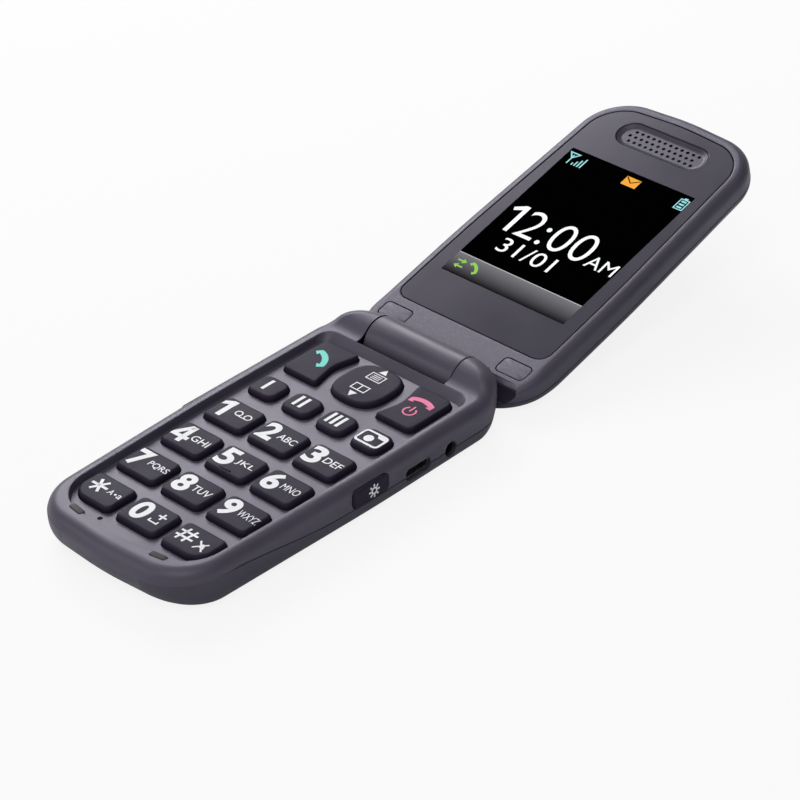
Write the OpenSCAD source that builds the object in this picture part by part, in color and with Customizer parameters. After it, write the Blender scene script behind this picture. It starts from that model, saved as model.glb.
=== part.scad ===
/* [Body] */
// Width across both halves
phone_w = 51.5; // [49:0.5:56]
// Length of the closed phone
phone_l = 105; // [100:1:112]
// Height of the base from its back face to the rim of the key well
base_h = 10.05; // [9.6:0.05:11]
// Thickness of the lid
lid_t = 8.2; // [8:0.1:9]
// Wall of the plastic shells
wall = 1.3; // [1:0.1:1.6]
// How much each side draws in towards the closing end
side_taper = 1.85; // [0:0.05:2.5]
// How far the closing end bows out
tip_bow = 1.6; // [0.5:0.1:2.5]
// Radius of the corners at the closing end
tip_corner_r = 13; // [10:0.5:15]
// Radius of the base's corners beside the hinge
rear_corner_r = 14.5; // [12:0.5:16]
// Radius of the lid's corners beside the hinge
heel_corner_r = 11; // [8:0.5:11.5]
// Radius of the long top edges
shoulder_r = 3; // [2:0.1:3.4]
// Radius of the base's lower long edges
base_edge_r = 2.8; // [2:0.1:3.5]
// Radius of the base's lower edge at the closing end
base_tip_r = 6.4; // [4:0.1:6.5]
// Radius of the lid's long back edges
lid_edge_r = 3.6; // [2.5:0.1:4]

/* [Hinge] */
// Radius of the hinge barrel and knuckles
hinge_r = 5.65; // [5.4:0.05:6]
// Height of the hinge axis over the lid's face
face_drop = 2.86; // [2.6:0.02:3.2]
// Angle between base and lid when open
open_angle = 165.4; // [160:0.2:170]
// Gap between the closed lid's face and the rim
lid_gap = 0.27; // [0.2:0.01:0.5]
// Half length of the barrel
barrel_half = 13.05; // [11:0.05:14]
// Gap at each end of the barrel
end_gap = 0.3; // [0.2:0.05:0.4]
// Gap round the barrel in the base's slot
slot_gap = 0.5; // [0.4:0.05:0.7]
// Gap round the knuckles in the lid
knuckle_gap = 0.55; // [0.4:0.05:0.6]
// Radius of the cam cartridge
cartridge_r = 3.3; // [3:0.1:3.6]
// Radius of the cartridge's output shaft
shaft_r = 1.6; // [1.4:0.05:1.8]
// Outer radius of the hollow hinge bush
bush_r = 2.5; // [2.3:0.05:2.8]
// Running clearance of the shaft and bush in the barrel
pin_gap = 0.05; // [0.03:0.01:0.08]

/* [Keys] */
// Gap between digit keys across
column_gap = 1.7; // [1.5:0.1:2.5]
// Gap between rows of digit keys
row_gap = 3.6; // [3.2:0.1:4.5]
// Corner radius of a digit key
digit_r = 1.6; // [1:0.1:2.5]
// Radius of the outer corners of the last row
last_row_r = 4.6; // [2:0.1:5]
// Distance from the hinge axis to the digit keys
digits_d = 41.1; // [40.9:0.1:42]
// Gap from the last row to the closing end of the key well
digits_tip = 4.95; // [4.9:0.05:6]
// Gap from the digit keys to the sides of the key well
digits_side = 2.3; // [2.1:0.1:3]
// Gap between memory keys
memory_gap = 2.2; // [2:0.1:3]
// Size of a memory key along
memory_l = 7.6; // [7:0.1:7.8]
// Distance from the hinge axis to the middle of the memory row
memory_d = 33.05; // [32.8:0.05:33.2]
// Distance from the hinge axis to the middle of the navigation key
nav_d = 17.85; // [17.7:0.05:18]
// Size of the navigation key across
nav_w = 14.2; // [13:0.1:14.6]
// Size of the navigation key along
nav_l = 15.2; // [14:0.1:15.6]
// Height of the keys over the floor of the well
key_rise = 1.33; // [1:0.01:1.5]
// Depth of the key well under the rim
well_depth = 1.75; // [1.6:0.01:1.9]
// Gap round each key in its opening
key_gap = 0.15; // [0.1:0.01:0.25]
// Travel of a key
key_travel = 0.4; // [0.3:0.05:0.4]
// Tilt of the navigation key each way
nav_tilt = 2.5; // [1.5:0.1:2.8]

/* [Ports and side keys] */
// Radius of the headset jack's bore
jack_r = 1.8; // [1.75:0.01:1.85]
// Distance from the hinge axis to the jack
jack_d = 18.55; // [18:0.05:19]
// Depth of the jack's bore
jack_depth = 14; // [12:0.5:15]
// Distance from the hinge axis to the USB socket
usb_d = 28.95; // [28.5:0.05:29.5]
// Width of the USB socket's shell
usb_w = 7.5; // [7.4:0.05:7.6]
// Height of the USB socket's shell
usb_t = 2.45; // [2.4:0.05:2.5]
// Length of the light key
light_l = 11; // [9:0.1:12]
// Length of the volume rocker
volume_l = 20; // [16:0.5:22]
// Height of the side keys on the wall
side_key_h = 4.4; // [3.5:0.1:4.6]

/* [Display] */
// Width of the display's clear opening
view_w = 37.46; // [36.8:0.02:38]
// Length of the display's clear opening
view_l = 49.2; // [49:0.1:50]
// Distance from the display's clear opening to the closing end
display_tip = 22.7; // [22.2:0.1:24]
// Thickness of the window
window_t = 1; // [0.8:0.05:1.1]
// Gap round the window and other flush trim
trim_gap = 0.1; // [0.05:0.01:0.15]
// Length of the earpiece recess
ear_l = 26; // [22:0.5:28]
// Width of the earpiece recess
ear_w = 8; // [7:0.1:8.5]
// Distance from the middle of the earpiece to the closing end
ear_tip = 11.7; // [11.3:0.1:12]

/* [Hidden] */

$fn = 48;

// Places that follow from the driving sizes
half_w = phone_w / 2;
hinge_y = phone_l / 2 - hinge_r;
hinge_z = base_h + lid_gap - face_drop;
reach = hinge_y + phone_l / 2;
lid_tilt = 180 - open_angle;
display_d = reach - display_tip - view_l / 2;
ear_at = reach - ear_tip;
corner_steps = 8;
bend_d = 42;
bend_r = 500;
bend_steps = 3;
tip_r = 75;

// Heights of the layers inside the base
cover_t = 1.1;
floor_z = base_h - well_depth;
floor_t = 0.6;
key_top = floor_z + key_rise;
flange_t = 0.45;
flange_out = 0.5;
flange_top = floor_z - floor_t - 0.05;
mat_top = flange_top - flange_t - key_travel - 0.05;
mat_t = 0.45;
sheet_t = 0.15;
board_t = 0.8;
board_top = mat_top - mat_t - sheet_t;
board_bottom = board_top - board_t;
battery_top = board_bottom - 0.3;
part_z = 3.9;
part_rise = 3.3;
rise_from = 5;
rise_to = 42;
seam = 0.06;
tongue_half = 12;
tongue_y = 2.5;

// Rounded outlines: each corner is [x, y, radius] and may name its own number of steps
function unit(v) = v / norm(v);
function turn(a) = a > 180 ? a - 360 : a < -180 ? a + 360 : a;
function corner(a, p, b, r, n) =
    let (u = unit(a - p), v = unit(b - p), half = acos(max(-1, min(1, u * v))) / 2)
    let (c = p + unit(u + v) * r / sin(half), t = r / tan(half))
    let (s = p + u * t - c, e = p + v * t - c)
    let (start = atan2(s.y, s.x), sweep = turn(atan2(e.y, e.x) - start))
    [for (k = [0:n]) c + r * [cos(start + sweep * k / n), sin(start + sweep * k / n)]];
function xy(v) = [v.x, v.y];
function rounded(v, n = 8) = let (m = len(v))
    [for (i = [0:m - 1]) each v[i].z <= 0 ? [xy(v[i])]
        : corner(xy(v[(i + m - 1) % m]), xy(v[i]), xy(v[(i + 1) % m]), v[i].z, len(v[i]) > 3 ? v[i][3] : n)];
function outward(p, i) = let (n = len(p), t = unit(p[(i + 1) % n] - p[(i + n - 1) % n])) [t.y, -t.x];
function grown(p, by) = [for (i = [0:len(p) - 1]) p[i] + by * outward(p, i)];
function box_outline(w, l, r, x = 0, y = 0) =
    [[x + w / 2, y + l / 2, r], [x - w / 2, y + l / 2, r], [x - w / 2, y - l / 2, r],
     [x + w / 2, y - l / 2, r]];
function scoop(r, h) = h >= r ? 0 : r - sqrt(max(0, r * r - (r - h) * (r - h)));
function mix(a, b, k) = a + (b - a) * k;
function ease(k) = let (c = max(0, min(1, k))) c * c * (3 - 2 * c);

// Plan of a half, x across and y as the distance from the hinge axis towards the closing end
function plan_corners(rear, rear_r, kinks, rear_steps) =
    [[0, reach, tip_r], [-half_w + side_taper, reach - tip_bow, tip_corner_r],
     [-half_w, bend_d, bend_r, bend_steps], each [for (k = kinks) [-half_w, k, 0]],
     [-half_w, rear, rear_r, rear_steps], [half_w, rear, rear_r, rear_steps],
     each [for (k = [len(kinks) - 1:-1:0]) [half_w, kinks[k], 0]], [half_w, bend_d, bend_r, bend_steps],
     [half_w - side_taper, reach - tip_bow, tip_corner_r]];
function from_tip(p, shift) = let (n = len(p)) [for (i = [0:n - 1]) p[(i + shift) % n]];
function plan(rear, rear_r, kinks = [], rear_steps = corner_steps) =
    from_tip(rounded(plan_corners(rear, rear_r, kinks, rear_steps), corner_steps), corner_steps / 2);
function to_base(p) = [for (q = p) [-q.x, hinge_y - q.y]];

// Solid through a stack of rings; the caps are strips across, so a cap may bend along the length
module loft(rings) {
    n = len(rings[0]);
    m = len(rings);
    half = floor((n - 1) / 2);
    points = [for (r = rings) each r];
    sides = [for (j = [0:m - 2], i = [0:n - 1]) each [
        [j * n + i, (j + 1) * n + i, (j + 1) * n + (i + 1) % n],
        [j * n + i, (j + 1) * n + (i + 1) % n, j * n + (i + 1) % n]]];
    strips = concat([[0, 1, n - 1]], [for (i = [1:half - 1]) each [
        [i, i + 1, n - i - 1], [i, n - i - 1, n - i]]]);
    top = (m - 1) * n;
    lids = concat(strips, [for (t = strips) [top + t[2], top + t[1], top + t[0]]]);
    polyhedron(points, concat(sides, lids));
}
// Stack of rings of any shape that is seen whole from its middle
function middle(r) = [for (k = [0:2]) (max([for (p = r) p[k]]) + min([for (p = r) p[k]])) / 2];
module stack(rings) {
    n = len(rings[0]);
    m = len(rings);
    points = concat([for (r = rings) each r], [middle(rings[0]), middle(rings[m - 1])]);
    sides = [for (j = [0:m - 2], i = [0:n - 1]) each [
        [j * n + i, (j + 1) * n + i, (j + 1) * n + (i + 1) % n],
        [j * n + i, (j + 1) * n + (i + 1) % n, j * n + (i + 1) % n]]];
    fans = [for (i = [0:n - 1]) each [[i, (i + 1) % n, m * n],
        [(m - 1) * n + (i + 1) % n, (m - 1) * n + i, m * n + 1]]];
    polyhedron(points, concat(sides, fans));
}
module prism(p, z0, z1) {
    translate([0, 0, z0])
        linear_extrude(z1 - z0)
            polygon(p);
}
module block(x0, x1, y0, y1, z0, z1) {
    translate([x0, y0, z0])
        cube([x1 - x0, y1 - y0, z1 - z0]);
}
module across(x0, x1, r, y, z, facets = 64) {
    translate([x0, y, z])
        rotate([0, 90, 0])
            cylinder(h = x1 - x0, r = r, $fn = facets);
}
module side_profile(x0, x1, p) {
    translate([x0, 0, 0])
        rotate([90, 0, 90])
            linear_extrude(x1 - x0)
                polygon(p);
}

// Height of the base's top along its length: the rim, a fairing and the knuckle round the hinge axis
fairing_r = 4;
fairing_y = hinge_y - sqrt(pow(hinge_r + fairing_r, 2) - pow(base_h + fairing_r - hinge_z, 2));
fairing_end = fairing_y + fairing_r * (hinge_y - fairing_y) / (hinge_r + fairing_r);
function top_at(y) = y <= fairing_y ? base_h
    : y <= fairing_end ? base_h + scoop(fairing_r, fairing_r - (y - fairing_y))
    : hinge_z + sqrt(max(0, pow(hinge_r, 2) - pow(y - hinge_y, 2)));
// Underside at the hinge end: round the axis, then a ramp down to the back face
ramp_from = 70;
ramp_z = hinge_z - hinge_r * sin(ramp_from);
ramp_in = hinge_r * (1 - cos(ramp_from));
function under_in(z) = z < ramp_z ? ramp_in + (ramp_z - z) * tan(ramp_from)
    : hinge_r - sqrt(pow(hinge_r, 2) - pow(min(0, z - hinge_z), 2));

// Outer body of the base, one ring for each height and then for each angle round the top edge
rear_corner_steps = 16;
base_plan = to_base(plan(-hinge_r, rear_corner_r, rear_steps = rear_corner_steps));
base_levels = [0, 0.22, 0.8, 1.7, 2.8, 4.4, 6.4];
base_turns = [0, 22.5, 45, 67.5, 90];
function low_in(z, ny) =
    mix(scoop(base_edge_r, z), ny < 0 ? scoop(base_tip_r, z) : under_in(z), ny * ny);
function top_r(ny) = shoulder_r + (ny < 0 ? 0.3 : hinge_r - shoulder_r) * ny * ny;
function base_point(i, s, z) = let (n = outward(base_plan, i))
    [base_plan[i].x - s * n.x, base_plan[i].y - s * n.y, z];
function base_ring(z) = [for (i = [0:len(base_plan) - 1])
    base_point(i, low_in(z, outward(base_plan, i).y), z)];
function top_ring(a) = [for (i = [0:len(base_plan) - 1])
    let (ny = outward(base_plan, i).y, r = top_r(ny))
    let (top = top_at(min(hinge_y, base_plan[i].y - r * ny)))
    base_point(i, r * (1 - cos(a)), top - r * (1 - sin(a)))];
module base_body() {
    loft(concat([for (z = base_levels) base_ring(z)], [for (a = base_turns) top_ring(a)]));
}

// Surface where the front housing meets the back cover, seen from the side
function part_at(y) = part_z + part_rise * ease((-rise_from - y) / (rise_to - rise_from));
far_y = phone_l / 2 + 5;
module above_parting(drop) {
    side_profile(-half_w - 5, half_w + 5, concat(
        [for (y = [-far_y, each [for (k = [0:8]) -rise_to + (rise_to - rise_from) * k / 8], far_y])
            [y, part_at(y) - drop]],
        [[far_y, base_h + 20], [-far_y, base_h + 20]]));
}
module tongue(gap) {
    block(-tongue_half - gap, tongue_half + gap, -far_y, -phone_l / 2 + tongue_y + gap, -1, base_h);
}

// Key well, its rim following the plan
well_side = 3.75;
well_tip = 5.3;
well_rear = 7.35;
well_r = 3.5;
well_tip_r = 62;
well_tip_corner_r = 9.5;
well_bow = 1.3;
well_x = half_w - well_side;
well_tip_x = well_x - side_taper + 0.4;
well_y0 = -phone_l / 2 + well_tip;
well_y1 = hinge_y - well_rear;
function well_corners(out) =
    [[0, well_y0 - out, well_tip_r],
     [well_tip_x + out, well_y0 + well_bow - out, well_tip_corner_r + out],
     [well_x + out, 0, bend_r, bend_steps],
     [well_x - 0.1 + out, well_y1 + out, well_r + out],
     [-well_x + 0.1 - out, well_y1 + out, well_r + out],
     [-well_x - out, 0, bend_r, bend_steps],
     [-well_tip_x - out, well_y0 + well_bow - out, well_tip_corner_r + out]];
function well(out) = from_tip(rounded(well_corners(out), corner_steps), corner_steps / 2);
function flat_ring(p, z) = [for (q = p) [q.x, q.y, z]];
module key_well() {
    loft([flat_ring(well(-0.35), floor_z), flat_ring(well(0), base_h - 0.25),
        flat_ring(well(0.25), base_h), flat_ring(well(0.25), base_h + 4)]);
}

// Key outlines; the digit keys fill the well from their margins and gaps
digits_y1 = hinge_y - digits_d;
digits_y0 = well_y0 + digits_tip;
digits_x = well_x - digits_side;
digit_w = (2 * digits_x - 2 * column_gap) / 3;
digit_l = (digits_y1 - digits_y0 - 3 * row_gap) / 4;
memory_x = digits_x + 0.2;
memory_w = (2 * memory_x - 3 * memory_gap) / 4;
memory_y = hinge_y - memory_d;
nav_y = hinge_y - nav_d;
function digit_at(col, row) =
    [col * (digit_w + column_gap), digits_y1 - digit_l / 2 - row * (digit_l + row_gap)];
function digit_corners(col, row) = let (c = digit_at(col, row), x = digit_w / 2, y = digit_l / 2)
    let (low = row == 3 && col != 0 ? min(last_row_r, digit_l - digit_r - 0.1) : digit_r)
    [[c.x + x, c.y + y, digit_r], [c.x - x, c.y + y, digit_r],
     [c.x - x, c.y - y, col < 0 ? low : digit_r], [c.x + x, c.y - y, col > 0 ? low : digit_r]];
call_gap = 1.7;
call_l = 14.9;
call_hollow = 1.7;
call_hollow_r = 9;
call_in_r = 0.9;
call_rear_r = 2.2;
call_front_r = 1.8;
call_x0 = nav_w / 2 + call_gap;
call_x1 = digits_x + 0.1;
call_y0 = nav_y - call_l / 2;
call_y1 = nav_y + call_l / 2;
function send_corners() =
    [[-call_x0, call_y1, call_in_r], [-call_x1, call_y1, call_rear_r], [-call_x1, call_y0, call_front_r],
     [-call_x0, call_y0, call_in_r], [-call_x0 - call_hollow, nav_y, call_hollow_r]];
function end_corners() =
    [[call_x1, call_y1, call_rear_r], [call_x0, call_y1, call_in_r],
     [call_x0 + call_hollow, nav_y, call_hollow_r], [call_x0, call_y0, call_in_r],
     [call_x1, call_y0, call_front_r]];
function oval(w, l, y) = [for (k = [0:39]) let (a = k * 9 + 4.5, c = cos(a), s = sin(a))
    [w / 2 * sign(c) * pow(abs(c), 0.72), y + l / 2 * sign(s) * pow(abs(s), 0.72)]];
memory_r = 2.4;
key_steps = 6;
function key_plan(kind, a = 0, b = 0) =
    kind == "digit" ? rounded(digit_corners(a, b), key_steps)
    : kind == "memory" ? rounded(box_outline(memory_w, memory_l, memory_r,
        (a - 2.5) * (memory_w + memory_gap), memory_y), key_steps)
    : kind == "send" ? rounded(send_corners(), key_steps)
    : kind == "end" ? rounded(end_corners(), key_steps)
    : oval(nav_w, nav_l, nav_y);
all_keys = concat([for (r = [0:3], c = [-1:1]) key_plan("digit", c, r)],
    [for (k = [1:4]) key_plan("memory", k)], [key_plan("send"), key_plan("end"), key_plan("nav")]);

// Key with a rounded top edge and a flange under the well's floor
key_edge = 0.55;
module key_body(p, flange_at = flange_top) {
    union() {
        stack([flat_ring(p, flange_at - flange_t / 2), flat_ring(grown(p, -0.05), key_top - key_edge),
            flat_ring(grown(p, -0.25), key_top - 0.17), flat_ring(grown(p, -key_edge), key_top)]);
        prism(grown(p, flange_out), flange_at - flange_t, flange_at);
    }
}

// Slot for the lid's barrel between the knuckles; its front edge is rounded to clear the closed
// lid's fillet
slot_r = hinge_r + slot_gap;
slot_half = barrel_half + end_gap;
barrel_fairing_r = 2.6;
barrel_fairing_d = sqrt(pow(hinge_r + barrel_fairing_r, 2) - pow(face_drop - barrel_fairing_r, 2));
slot_edge_r = barrel_fairing_r - lid_gap;
slot_back = 2;
function around(c, r, a) = c + r * [cos(a), sin(a)];
module barrel_slot() {
    axis = [hinge_y, hinge_z];
    c = [hinge_y - barrel_fairing_d, base_h - slot_edge_r];
    d = norm(axis - c);
    turned = atan2(axis.y - c.y, axis.x - c.x);
    edge_end = turned + acos((d * d + pow(slot_edge_r, 2) - pow(slot_r, 2)) / (2 * d * slot_edge_r));
    met = around(c, slot_edge_r, edge_end) - axis;
    from = atan2(met.y, met.x);
    to = 180 + acos(slot_back / slot_r);
    side_profile(-slot_half, slot_half, concat([[c.x, base_h + 10]],
        [for (k = [0:5]) around(c, slot_edge_r, 90 + (edge_end - 90) * k / 5)],
        [for (k = [1:12]) around(axis, slot_r, from + (to - from) * k / 12)],
        [[hinge_y - slot_back, -1], [far_y, -1], [far_y, base_h + 10]]));
}
cartridge_x = 20.4;
screw_side = 3.35;
screw_rear = 12.85;
screw_tip = 7.5;
screw_tip_side = 11.25;
screw_at = [for (s = [-1, 1]) each [[s * (half_w - screw_side), hinge_y - screw_rear],
    [s * (half_w - screw_tip_side), -phone_l / 2 + screw_tip]]];
screw_r = 0.8;
post_r = 1.9;

module ports() {
    across(half_w - 6, half_w + 3, jack_r, jack_y, jack_z);
    side_profile(half_w - 6, half_w + 3, rounded(box_outline(usb_w + 0.4, usb_t + 0.4, 1, usb_y, usb_z), 5));
}
jack_y = hinge_y - jack_d;
jack_z = 4;
usb_y = hinge_y - usb_d;
usb_z = board_bottom - usb_t / 2;
light_d = 44;
volume_d = 40.85;
light_y = hinge_y - light_d;
volume_y = hinge_y - volume_d;
side_key_drop = 3.8;
side_key_z = base_h - side_key_drop;
function side_key_plan(l, y, gap) = rounded(box_outline(l + 2 * gap, side_key_h + 2 * gap, 1.4 + gap, y,
    side_key_z), 5);

module base_front_housing() {
    color("dimgray")
    difference() {
        intersection() {
            base_body();
            union() {
                above_parting(-seam / 2);
                tongue(0);
            }
        }
        key_well();
        loft([flat_ring(base_cavity, -1), flat_ring(base_cavity, floor_z - floor_t)]);
        for (p = all_keys)
            prism(grown(p, key_gap), floor_z - floor_t - 1, floor_z + 1);
        translate([mic_x, mic_y, floor_z - floor_t - 1])
            cylinder(h = 3, r = 0.6, $fn = 24);
        barrel_slot();
        across(-cartridge_x, -barrel_half, cartridge_r, hinge_y, hinge_z);
        across(barrel_half, bush_x1, bush_r, hinge_y, hinge_z);
        across(barrel_half, flex_x1 + 0.2, flex_r + 0.2, hinge_y, hinge_z);
        block(flex_x0 - 0.2, flex_x1 + 0.2, flex_y1 - flex_drop_l, hinge_y, flex_z - 0.3, flex_z + 0.4);
        ports();
        side_profile(half_w - side_key_depth, half_w + 3, side_key_plan(light_l, light_y, key_gap));
        side_profile(-half_w - 3, -half_w + side_key_depth, side_key_plan(volume_l, volume_y, key_gap));
        for (x = [-bumper_x, bumper_x])
            bumper_seat(x, 0.03);
    }
    color("dimgray")
    for (s = screw_at)
        translate([s.x, s.y, board_top + 0.1])
            difference() {
                cylinder(h = floor_z - floor_t - board_top - 0.1, r = post_r, $fn = 32);
                translate([0, 0, -1])
                    cylinder(h = 2.2, r = screw_r, $fn = 32);
            }
}
cavity_d = 8.3;
cavity_r = 4;
cavity_plan = to_base(plan(cavity_d - wall, cavity_r + wall));
base_cavity = [for (i = [0:len(cavity_plan) - 1]) let (n = outward(cavity_plan, i))
    cavity_plan[i] - (wall + (n.y < 0 ? 2 * n.y * n.y : 0)) * n];
mic_x = -8.1;
mic_y = -phone_l / 2 + 8.5;
mic_w = 2.8;
mic_l = 1.9;
mic_t = 0.9;
bumper_x = 12.4;
bumper_l = 4.2;
bumper_w = 1.7;
bumper_y = -phone_l / 2 + well_tip + 0.75;
module bumper_seat(x, gap) {
    turned = x > 0 ? 9 : -9;
    translate([x, bumper_y, 0])
        rotate([0, 0, turned])
            prism(rounded(box_outline(bumper_l + 2 * gap, bumper_w + 2 * gap, 0.6), 5),
                base_h - 0.9 - gap, base_h + 0.15 + (gap > 0 ? 2 : 0));
}
flex_r = 0.9;
flex_x0 = 15.8;
flex_x1 = 18.2;
flex_sink = 0.46;
flex_z = hinge_z - flex_sink;
flex_y1 = hinge_y - 8.6;
flex_drop_l = 1;
bush_x0 = barrel_half - 4;
bush_x1 = flex_x0 - 0.4;

module back_cover() {
    color("#3c3b42")
    difference() {
        intersection() {
            base_body();
            block(-half_w - 5, half_w + 5, -far_y, far_y, -1, base_h);
        }
        above_parting(seam / 2);
        tongue(seam);
        loft([flat_ring(cover_cavity, cover_t), flat_ring(base_cavity, cover_t + 1.1),
            flat_ring(base_cavity, base_h)]);
        barrel_slot();
        ports();
        side_profile(half_w - side_key_depth, half_w + 3, side_key_plan(light_l, light_y, key_gap));
        side_profile(-half_w - 3, -half_w + side_key_depth, side_key_plan(volume_l, volume_y, key_gap));
        block(half_w - jack_depth - 0.1, half_w - jack_wall + 0.05, jack_y - jack_half - 0.1,
            jack_y + jack_half + 0.1, jack_z - jack_under - 0.1, base_h);
        for (k = [-2:2])
            translate([speaker_x + k * slit_pitch, speaker_y, -1])
                prism(rounded(box_outline(slit_w, slit_l, slit_w / 2), 5), 0, 3);
    }
}
cover_cavity = grown(base_cavity, -1.4);

slit_pitch = 2;
slit_w = 1;
slit_l = 8;
module jack_room() {
    block(half_w - jack_depth - 0.3, half_w, jack_y - jack_half - 0.3, jack_y + jack_half + 0.3, 0, base_h);
}
module side_key_room(x0, x1, l, y) {
    block(x0, x1, y - l / 2 - 1, y + l / 2 + 1, side_key_z - side_key_h / 2 - 0.3, base_h);
}
side_key_depth = 3.1;
module chassis() {
    color("#46454d")
    difference() {
        prism(grown(base_cavity, -chassis_gap), chassis_z, battery_top);
        block(-battery_w / 2 - 0.3, battery_w / 2 + 0.3, battery_y0 - 0.3, battery_y1 + 3.2, 0, base_h);
        jack_room();
        block(half_w - 8.6, half_w, usb_y - usb_w / 2 - 0.65, usb_y + usb_w / 2 + 0.65, 0, base_h);
        side_key_room(half_w - side_key_depth, half_w, light_l, light_y);
        side_key_room(-half_w, -half_w + side_key_depth, volume_l, volume_y);
        translate([speaker_x, speaker_y, 0])
            cylinder(h = 9, r = speaker_r + 0.2);
        translate([motor_x, motor_y, 0])
            cylinder(h = 9, r = motor_r + 0.2);
        block(can_x - can_w / 2 - 0.2, can_x + can_w / 2 + 0.2, can_y - can_l / 2 - 0.2,
            can_y + can_l / 2 + 0.2, battery_top - can_h, 9);
        block(sim_x1 - sim_w - 0.3, sim_x1 + 1.5, sim_y - sim_l / 2 - 0.3,
            sim_y + sim_l / 2 + 0.3, 0, 9);
        block(-antenna_half - 0.2, antenna_half + 0.2, -phone_l / 2, antenna_y + 0.2, 0, 9);
        for (s = screw_at)
            translate([s.x, s.y, 0])
                cylinder(h = 9, r = screw_r + 0.15, $fn = 32);
        for (s = screw_at)
            translate([s.x, s.y, 0])
                cylinder(h = head_z + head_t, r = head_r + 0.1, $fn = 32);
    }
}
chassis_gap = 0.2;
chassis_z = cover_t + 1.2;
battery_side = 8.75;
battery_tip = 16.5;
battery_d = 40.85;
battery_w = 2 * (half_w - battery_side);
battery_y0 = -phone_l / 2 + battery_tip;
battery_y1 = hinge_y - battery_d;
battery_z0 = cover_t + 0.2;

module battery_pack() {
    color("#202024")
    difference() {
        block(-battery_w / 2, battery_w / 2, battery_y0, battery_y1, battery_z0, battery_top);
        for (x = contact_x)
            block(x - 1, x + 1, battery_y1 - 0.4, battery_y1 + 1, battery_z0 + 1, battery_z0 + 3);
    }
}
contact_x = [-6, 0, 6];

module main_board() {
    color("#2f6b45")
    difference() {
        prism(grown(base_cavity, -0.5), board_bottom, board_top);
        jack_room();
        block(-half_w, half_w, hinge_y - slot_r - 1.2, far_y, 0, base_h);
        side_key_room(half_w - side_key_depth, half_w, light_l, light_y);
        side_key_room(-half_w, -half_w + side_key_depth, volume_l, volume_y);
        for (s = screw_at)
            translate([s.x, s.y, 0])
                cylinder(h = 9, r = screw_r + 0.15, $fn = 32);
    }
}
can_x = -9;
can_y = hinge_y - 32.35;
can_w = 16;
can_l = 9;
can_h = 1.2;
low_can_x = 13;
low_can_w = 10;
low_can_t = 0.25;
low_can_l = 12;
low_can_tip = 22.5;
low_can_y0 = -phone_l / 2 + low_can_tip;
low_can_y1 = low_can_y0 + low_can_l;
module shield_cans() {
    color("silver") {
        block(can_x - can_w / 2, can_x + can_w / 2, can_y - can_l / 2, can_y + can_l / 2,
            board_bottom - can_h, board_bottom);
        block(low_can_x - low_can_w / 2, low_can_x + low_can_w / 2, low_can_y0, low_can_y1,
            board_bottom - low_can_t, board_bottom);
    }
}
mat_x = well_x - 2.7;
mat_y0 = well_y0 + 4.4;
mat_y1 = well_y1 - 3.6;
mat_r = 3;
mat_plan = rounded(box_outline(2 * mat_x, mat_y1 - mat_y0, mat_r, 0, (mat_y0 + mat_y1) / 2), 6);
module dome_sheet() {
    color("#d8d2c0")
        prism(mat_plan, board_top, board_top + sheet_t);
}
module key_mat() {
    color("#9a9aa2")
    difference() {
        prism(mat_plan, board_top + sheet_t, mat_top);
        prism(grown(key_plan("nav"), flange_out + 0.2), 0, base_h);
    }
    color("#9a9aa2")
        translate([0, nav_y, board_top + sheet_t])
            cylinder(h = flange_top - flange_t - 0.5 - board_top - sheet_t, r = 2, $fn = 32);
}
usb_depth = 7.2;
module usb_socket() {
    color("silver")
    difference() {
        side_profile(half_w - usb_depth, half_w - 0.9,
            rounded(box_outline(usb_w, usb_t, 0.7, usb_y, usb_z), 5));
        side_profile(half_w - 6, half_w,
            rounded(box_outline(usb_w - 0.6, usb_t - 0.6, 0.5, usb_y, usb_z), 5));
    }
    color("black")
        block(half_w - 6.2, half_w - 1.6, usb_y - 1.9, usb_y + 1.9, usb_z + 0.05, usb_z + 0.65);
}
jack_half = 3;
jack_under = 2.3;
jack_wall = wall + 0.3;
module headset_jack() {
    color("#18181b")
    difference() {
        block(half_w - jack_depth, half_w - jack_wall, jack_y - jack_half, jack_y + jack_half,
            jack_z - jack_under, jack_z + 2.1);
        across(half_w - jack_depth + 1, half_w + 1, jack_r, jack_y, jack_z);
    }
}
module microphone() {
    color("gold")
        block(mic_x - mic_w / 2, mic_x + mic_w / 2, mic_y - mic_l / 2, mic_y + mic_l / 2,
            board_top, board_top + mic_t);
}
speaker_x = -9.5;
speaker_y = hinge_y - 19.35;
speaker_r = 6.5;
speaker_t = 2.9;
module loudspeaker() {
    color("#303034")
        translate([speaker_x, speaker_y, cover_t + 0.2])
            cylinder(h = speaker_t, r = speaker_r);
}
motor_x = 4;
motor_y = hinge_y - 16.85;
motor_r = 4.5;
motor_t = 2.7;
module vibration_motor() {
    color("silver")
        translate([motor_x, motor_y, board_bottom - motor_t])
            cylinder(h = motor_t, r = motor_r);
}
sim_gap = 2.15;
sim_x1 = half_w - usb_depth - sim_gap;
sim_y = hinge_y - 29.85;
sim_w = 13.6;
sim_l = 12.8;
sim_t = 1.5;
module sim_holder() {
    color("silver")
        block(sim_x1 - sim_w, sim_x1, sim_y - sim_l / 2, sim_y + sim_l / 2,
            board_bottom - sim_t, board_bottom);
}
module battery_contacts() {
    color("gold")
    union() {
        block(-8.5, 8.5, battery_y1 + 0.5, battery_y1 + 3, battery_z0 + 0.5, board_bottom);
        for (x = contact_x)
            block(x - 0.5, x + 0.5, battery_y1 - 0.2, battery_y1 + 0.6, battery_z0 + 1.4, battery_z0 + 2.6);
    }
}
antenna_side = 13.75;
antenna_half = half_w - antenna_side;
antenna_y = -phone_l / 2 + 9;
module antenna() {
    color("#c8b070")
        block(-antenna_half, antenna_half, antenna_y - antenna_w, antenna_y, cover_t + 1.6, board_bottom);
}
antenna_w = 3.6;
head_z = chassis_z + 0.05;
head_t = 0.9;
head_r = 1.5;
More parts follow.
